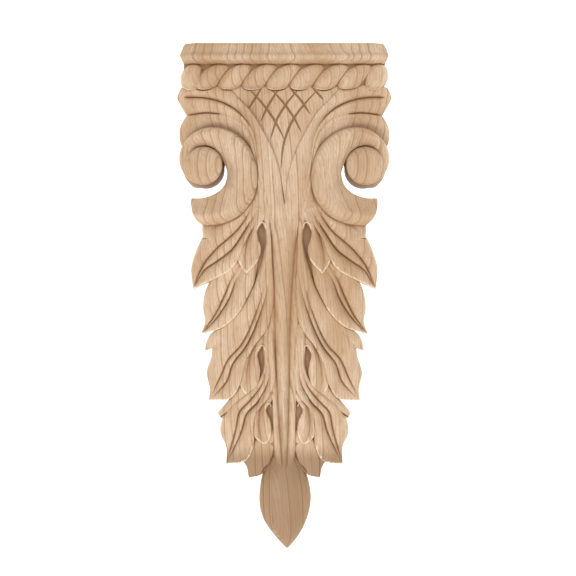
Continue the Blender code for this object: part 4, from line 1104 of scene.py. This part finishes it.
# A few nicks at the leaves' roots and a line along the foot of each strand are cut last; the line's brown is
# painted shadow under the strands.
# The line runs under this many strands to each side of the middle one, at these shares of its half width.
SCALLOPS = 3
SCALLOP_PLACES = (-0.80, -0.55, -0.25, 0.05, 0.35, 0.62)
# How deep the foot of the strands lies, at places across to either side of the middle.
FOOT_DEPTHS = [(0, 15.0), (27, 15.2), (34, 16.4), (48, 16.0), (62, 15.4)]
NICKS = [[(-49.8, 36.3, 11.0), (-43.4, 36.6, 12.2)], [(-39.4, -71.9, 9.2), (-34.6, -68.2, 10.2)],
         [(-43.6, 111.4, 13.6), (-38.4, 111.2, 13.8)], [(-14.0, -105.0, 9.2), (-9.0, -98.6, 10.2)]]
cuts = NICKS + [[(-x, y, z) for x, y, z in line] for line in NICKS]
for number in range(-SCALLOPS, SCALLOPS + 1):
    line = []
    for u in SCALLOP_PLACES:
        y = -ROPE_HEIGHT / 2 * math.sqrt(1 - abs(u) ** STRAND_ROUNDNESS)
        x = number * STRAND_PITCH + u * STRAND_WIDTH / 2 + y * STRAND_LEAN
        line.append((x, ROPE_MIDDLE + y, float(across_at(FOOT_DEPTHS, abs(x)))))
    cuts.append(line)
join(carving, [below, *short_cuts("nick", cuts)], "DIFFERENCE")
carving.name = "acanthus_carving"
carved_forms.objects.unlink(carving)
bpy.context.scene.collection.objects.link(carving)
bpy.data.collections.remove(carved_forms)

# Points that the joining left closer than this are made one.
WELD = 5e-6
mesh = bmesh.new()
mesh.from_mesh(carving.data)
bmesh.ops.remove_doubles(mesh, verts=mesh.verts[:], dist=WELD)
bmesh.ops.triangulate(mesh, faces=mesh.faces[:])
mesh.to_mesh(carving.data)
mesh.free()
lying = np.empty(len(carving.data.vertices) * 3, np.float32)
carving.data.vertices.foreach_get("co", lying)
lying = lying.reshape(-1, 3)
standing = np.stack([lying[:, 0], -lying[:, 2], lying[:, 1]], axis=1)
standing = np.clip(standing, tuple(solid_low), tuple(solid_high))
carving.data.vertices.foreach_set("co", standing.ravel())
carving.data.update()
carving.data.materials.clear()
carving.data.materials.append(maple)
carving.data.shade_smooth()
carving.data.set_sharp_from_angle(angle=SMOOTH_ANGLE)
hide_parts("acanthus_drop")
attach(carving, "root")

# The studio is a pale paper sweep, far behind and below the piece.
# Soft lights stand in front, one low and one high, and two more whiten the paper.
FLOOR_HEIGHT = -0.6
WALL_PLACE = 1.5
SWEEP_RADIUS = 0.5
SWEEP_WIDTH = 4.0

profile = [(-2.0, FLOOR_HEIGHT)]
for turn in np.linspace(-math.pi / 2, 0, 13):
    profile.append((WALL_PLACE - SWEEP_RADIUS + SWEEP_RADIUS * math.cos(turn),
                    FLOOR_HEIGHT + SWEEP_RADIUS + SWEEP_RADIUS * math.sin(turn)))
profile.append((WALL_PLACE, 1.6))
sweep_data = bpy.data.meshes.new("studio_sweep")
verts = [(x, y, z) for x in (-SWEEP_WIDTH / 2, SWEEP_WIDTH / 2) for y, z in profile]
steps = len(profile)
sweep_data.from_pydata(verts, [], [(k, k + 1, steps + k + 1, steps + k) for k in range(steps - 1)])
sweep_data.shade_smooth()
sweep = bpy.data.objects.new("studio_sweep", sweep_data)
bpy.context.scene.collection.objects.link(sweep)
paper = bpy.data.materials.new("white_paper")
paper.use_nodes = True
paper_shader = paper.node_tree.nodes["Principled BSDF"]
paper_shader.inputs["Base Color"].default_value = (0.93, 0.925, 0.915, 1.0)
paper_shader.inputs["Roughness"].default_value = 0.9
sweep.data.materials.append(paper)


def soft_light(name, place, target, size, power):
    """A square soft light that faces a place."""
    lamp = bpy.data.lights.new(name, "AREA")
    lamp.size = size
    lamp.energy = power
    light = bpy.data.objects.new(name, lamp)
    bpy.context.scene.collection.objects.link(light)
    light.location = place
    away = light.location - mathutils.Vector(target)
    light.rotation_euler = away.to_track_quat("Z", "Y").to_euler()


soft_light("front", (-0.25, -0.9, -0.55), (0, 0, 0), 0.5, 7.7)
soft_light("front_high", (0.25, -0.9, 0.55), (0, 0, 0), 0.6, 3.2)
soft_light("paper_left", (-1.2, 0.4, 0.5), (0, WALL_PLACE, 0), 0.8, 19.0)
soft_light("paper_right", (1.2, 0.4, 0.5), (0, WALL_PLACE, 0), 0.8, 19.0)
world = bpy.data.worlds.new("studio")
bpy.context.scene.world = world
world.use_nodes = True
world.node_tree.nodes["Background"].inputs["Color"].default_value = (1.0, 0.995, 0.985, 1.0)
world.node_tree.nodes["Background"].inputs["Strength"].default_value = 0.46
bpy.context.scene.view_settings.view_transform = "Standard"
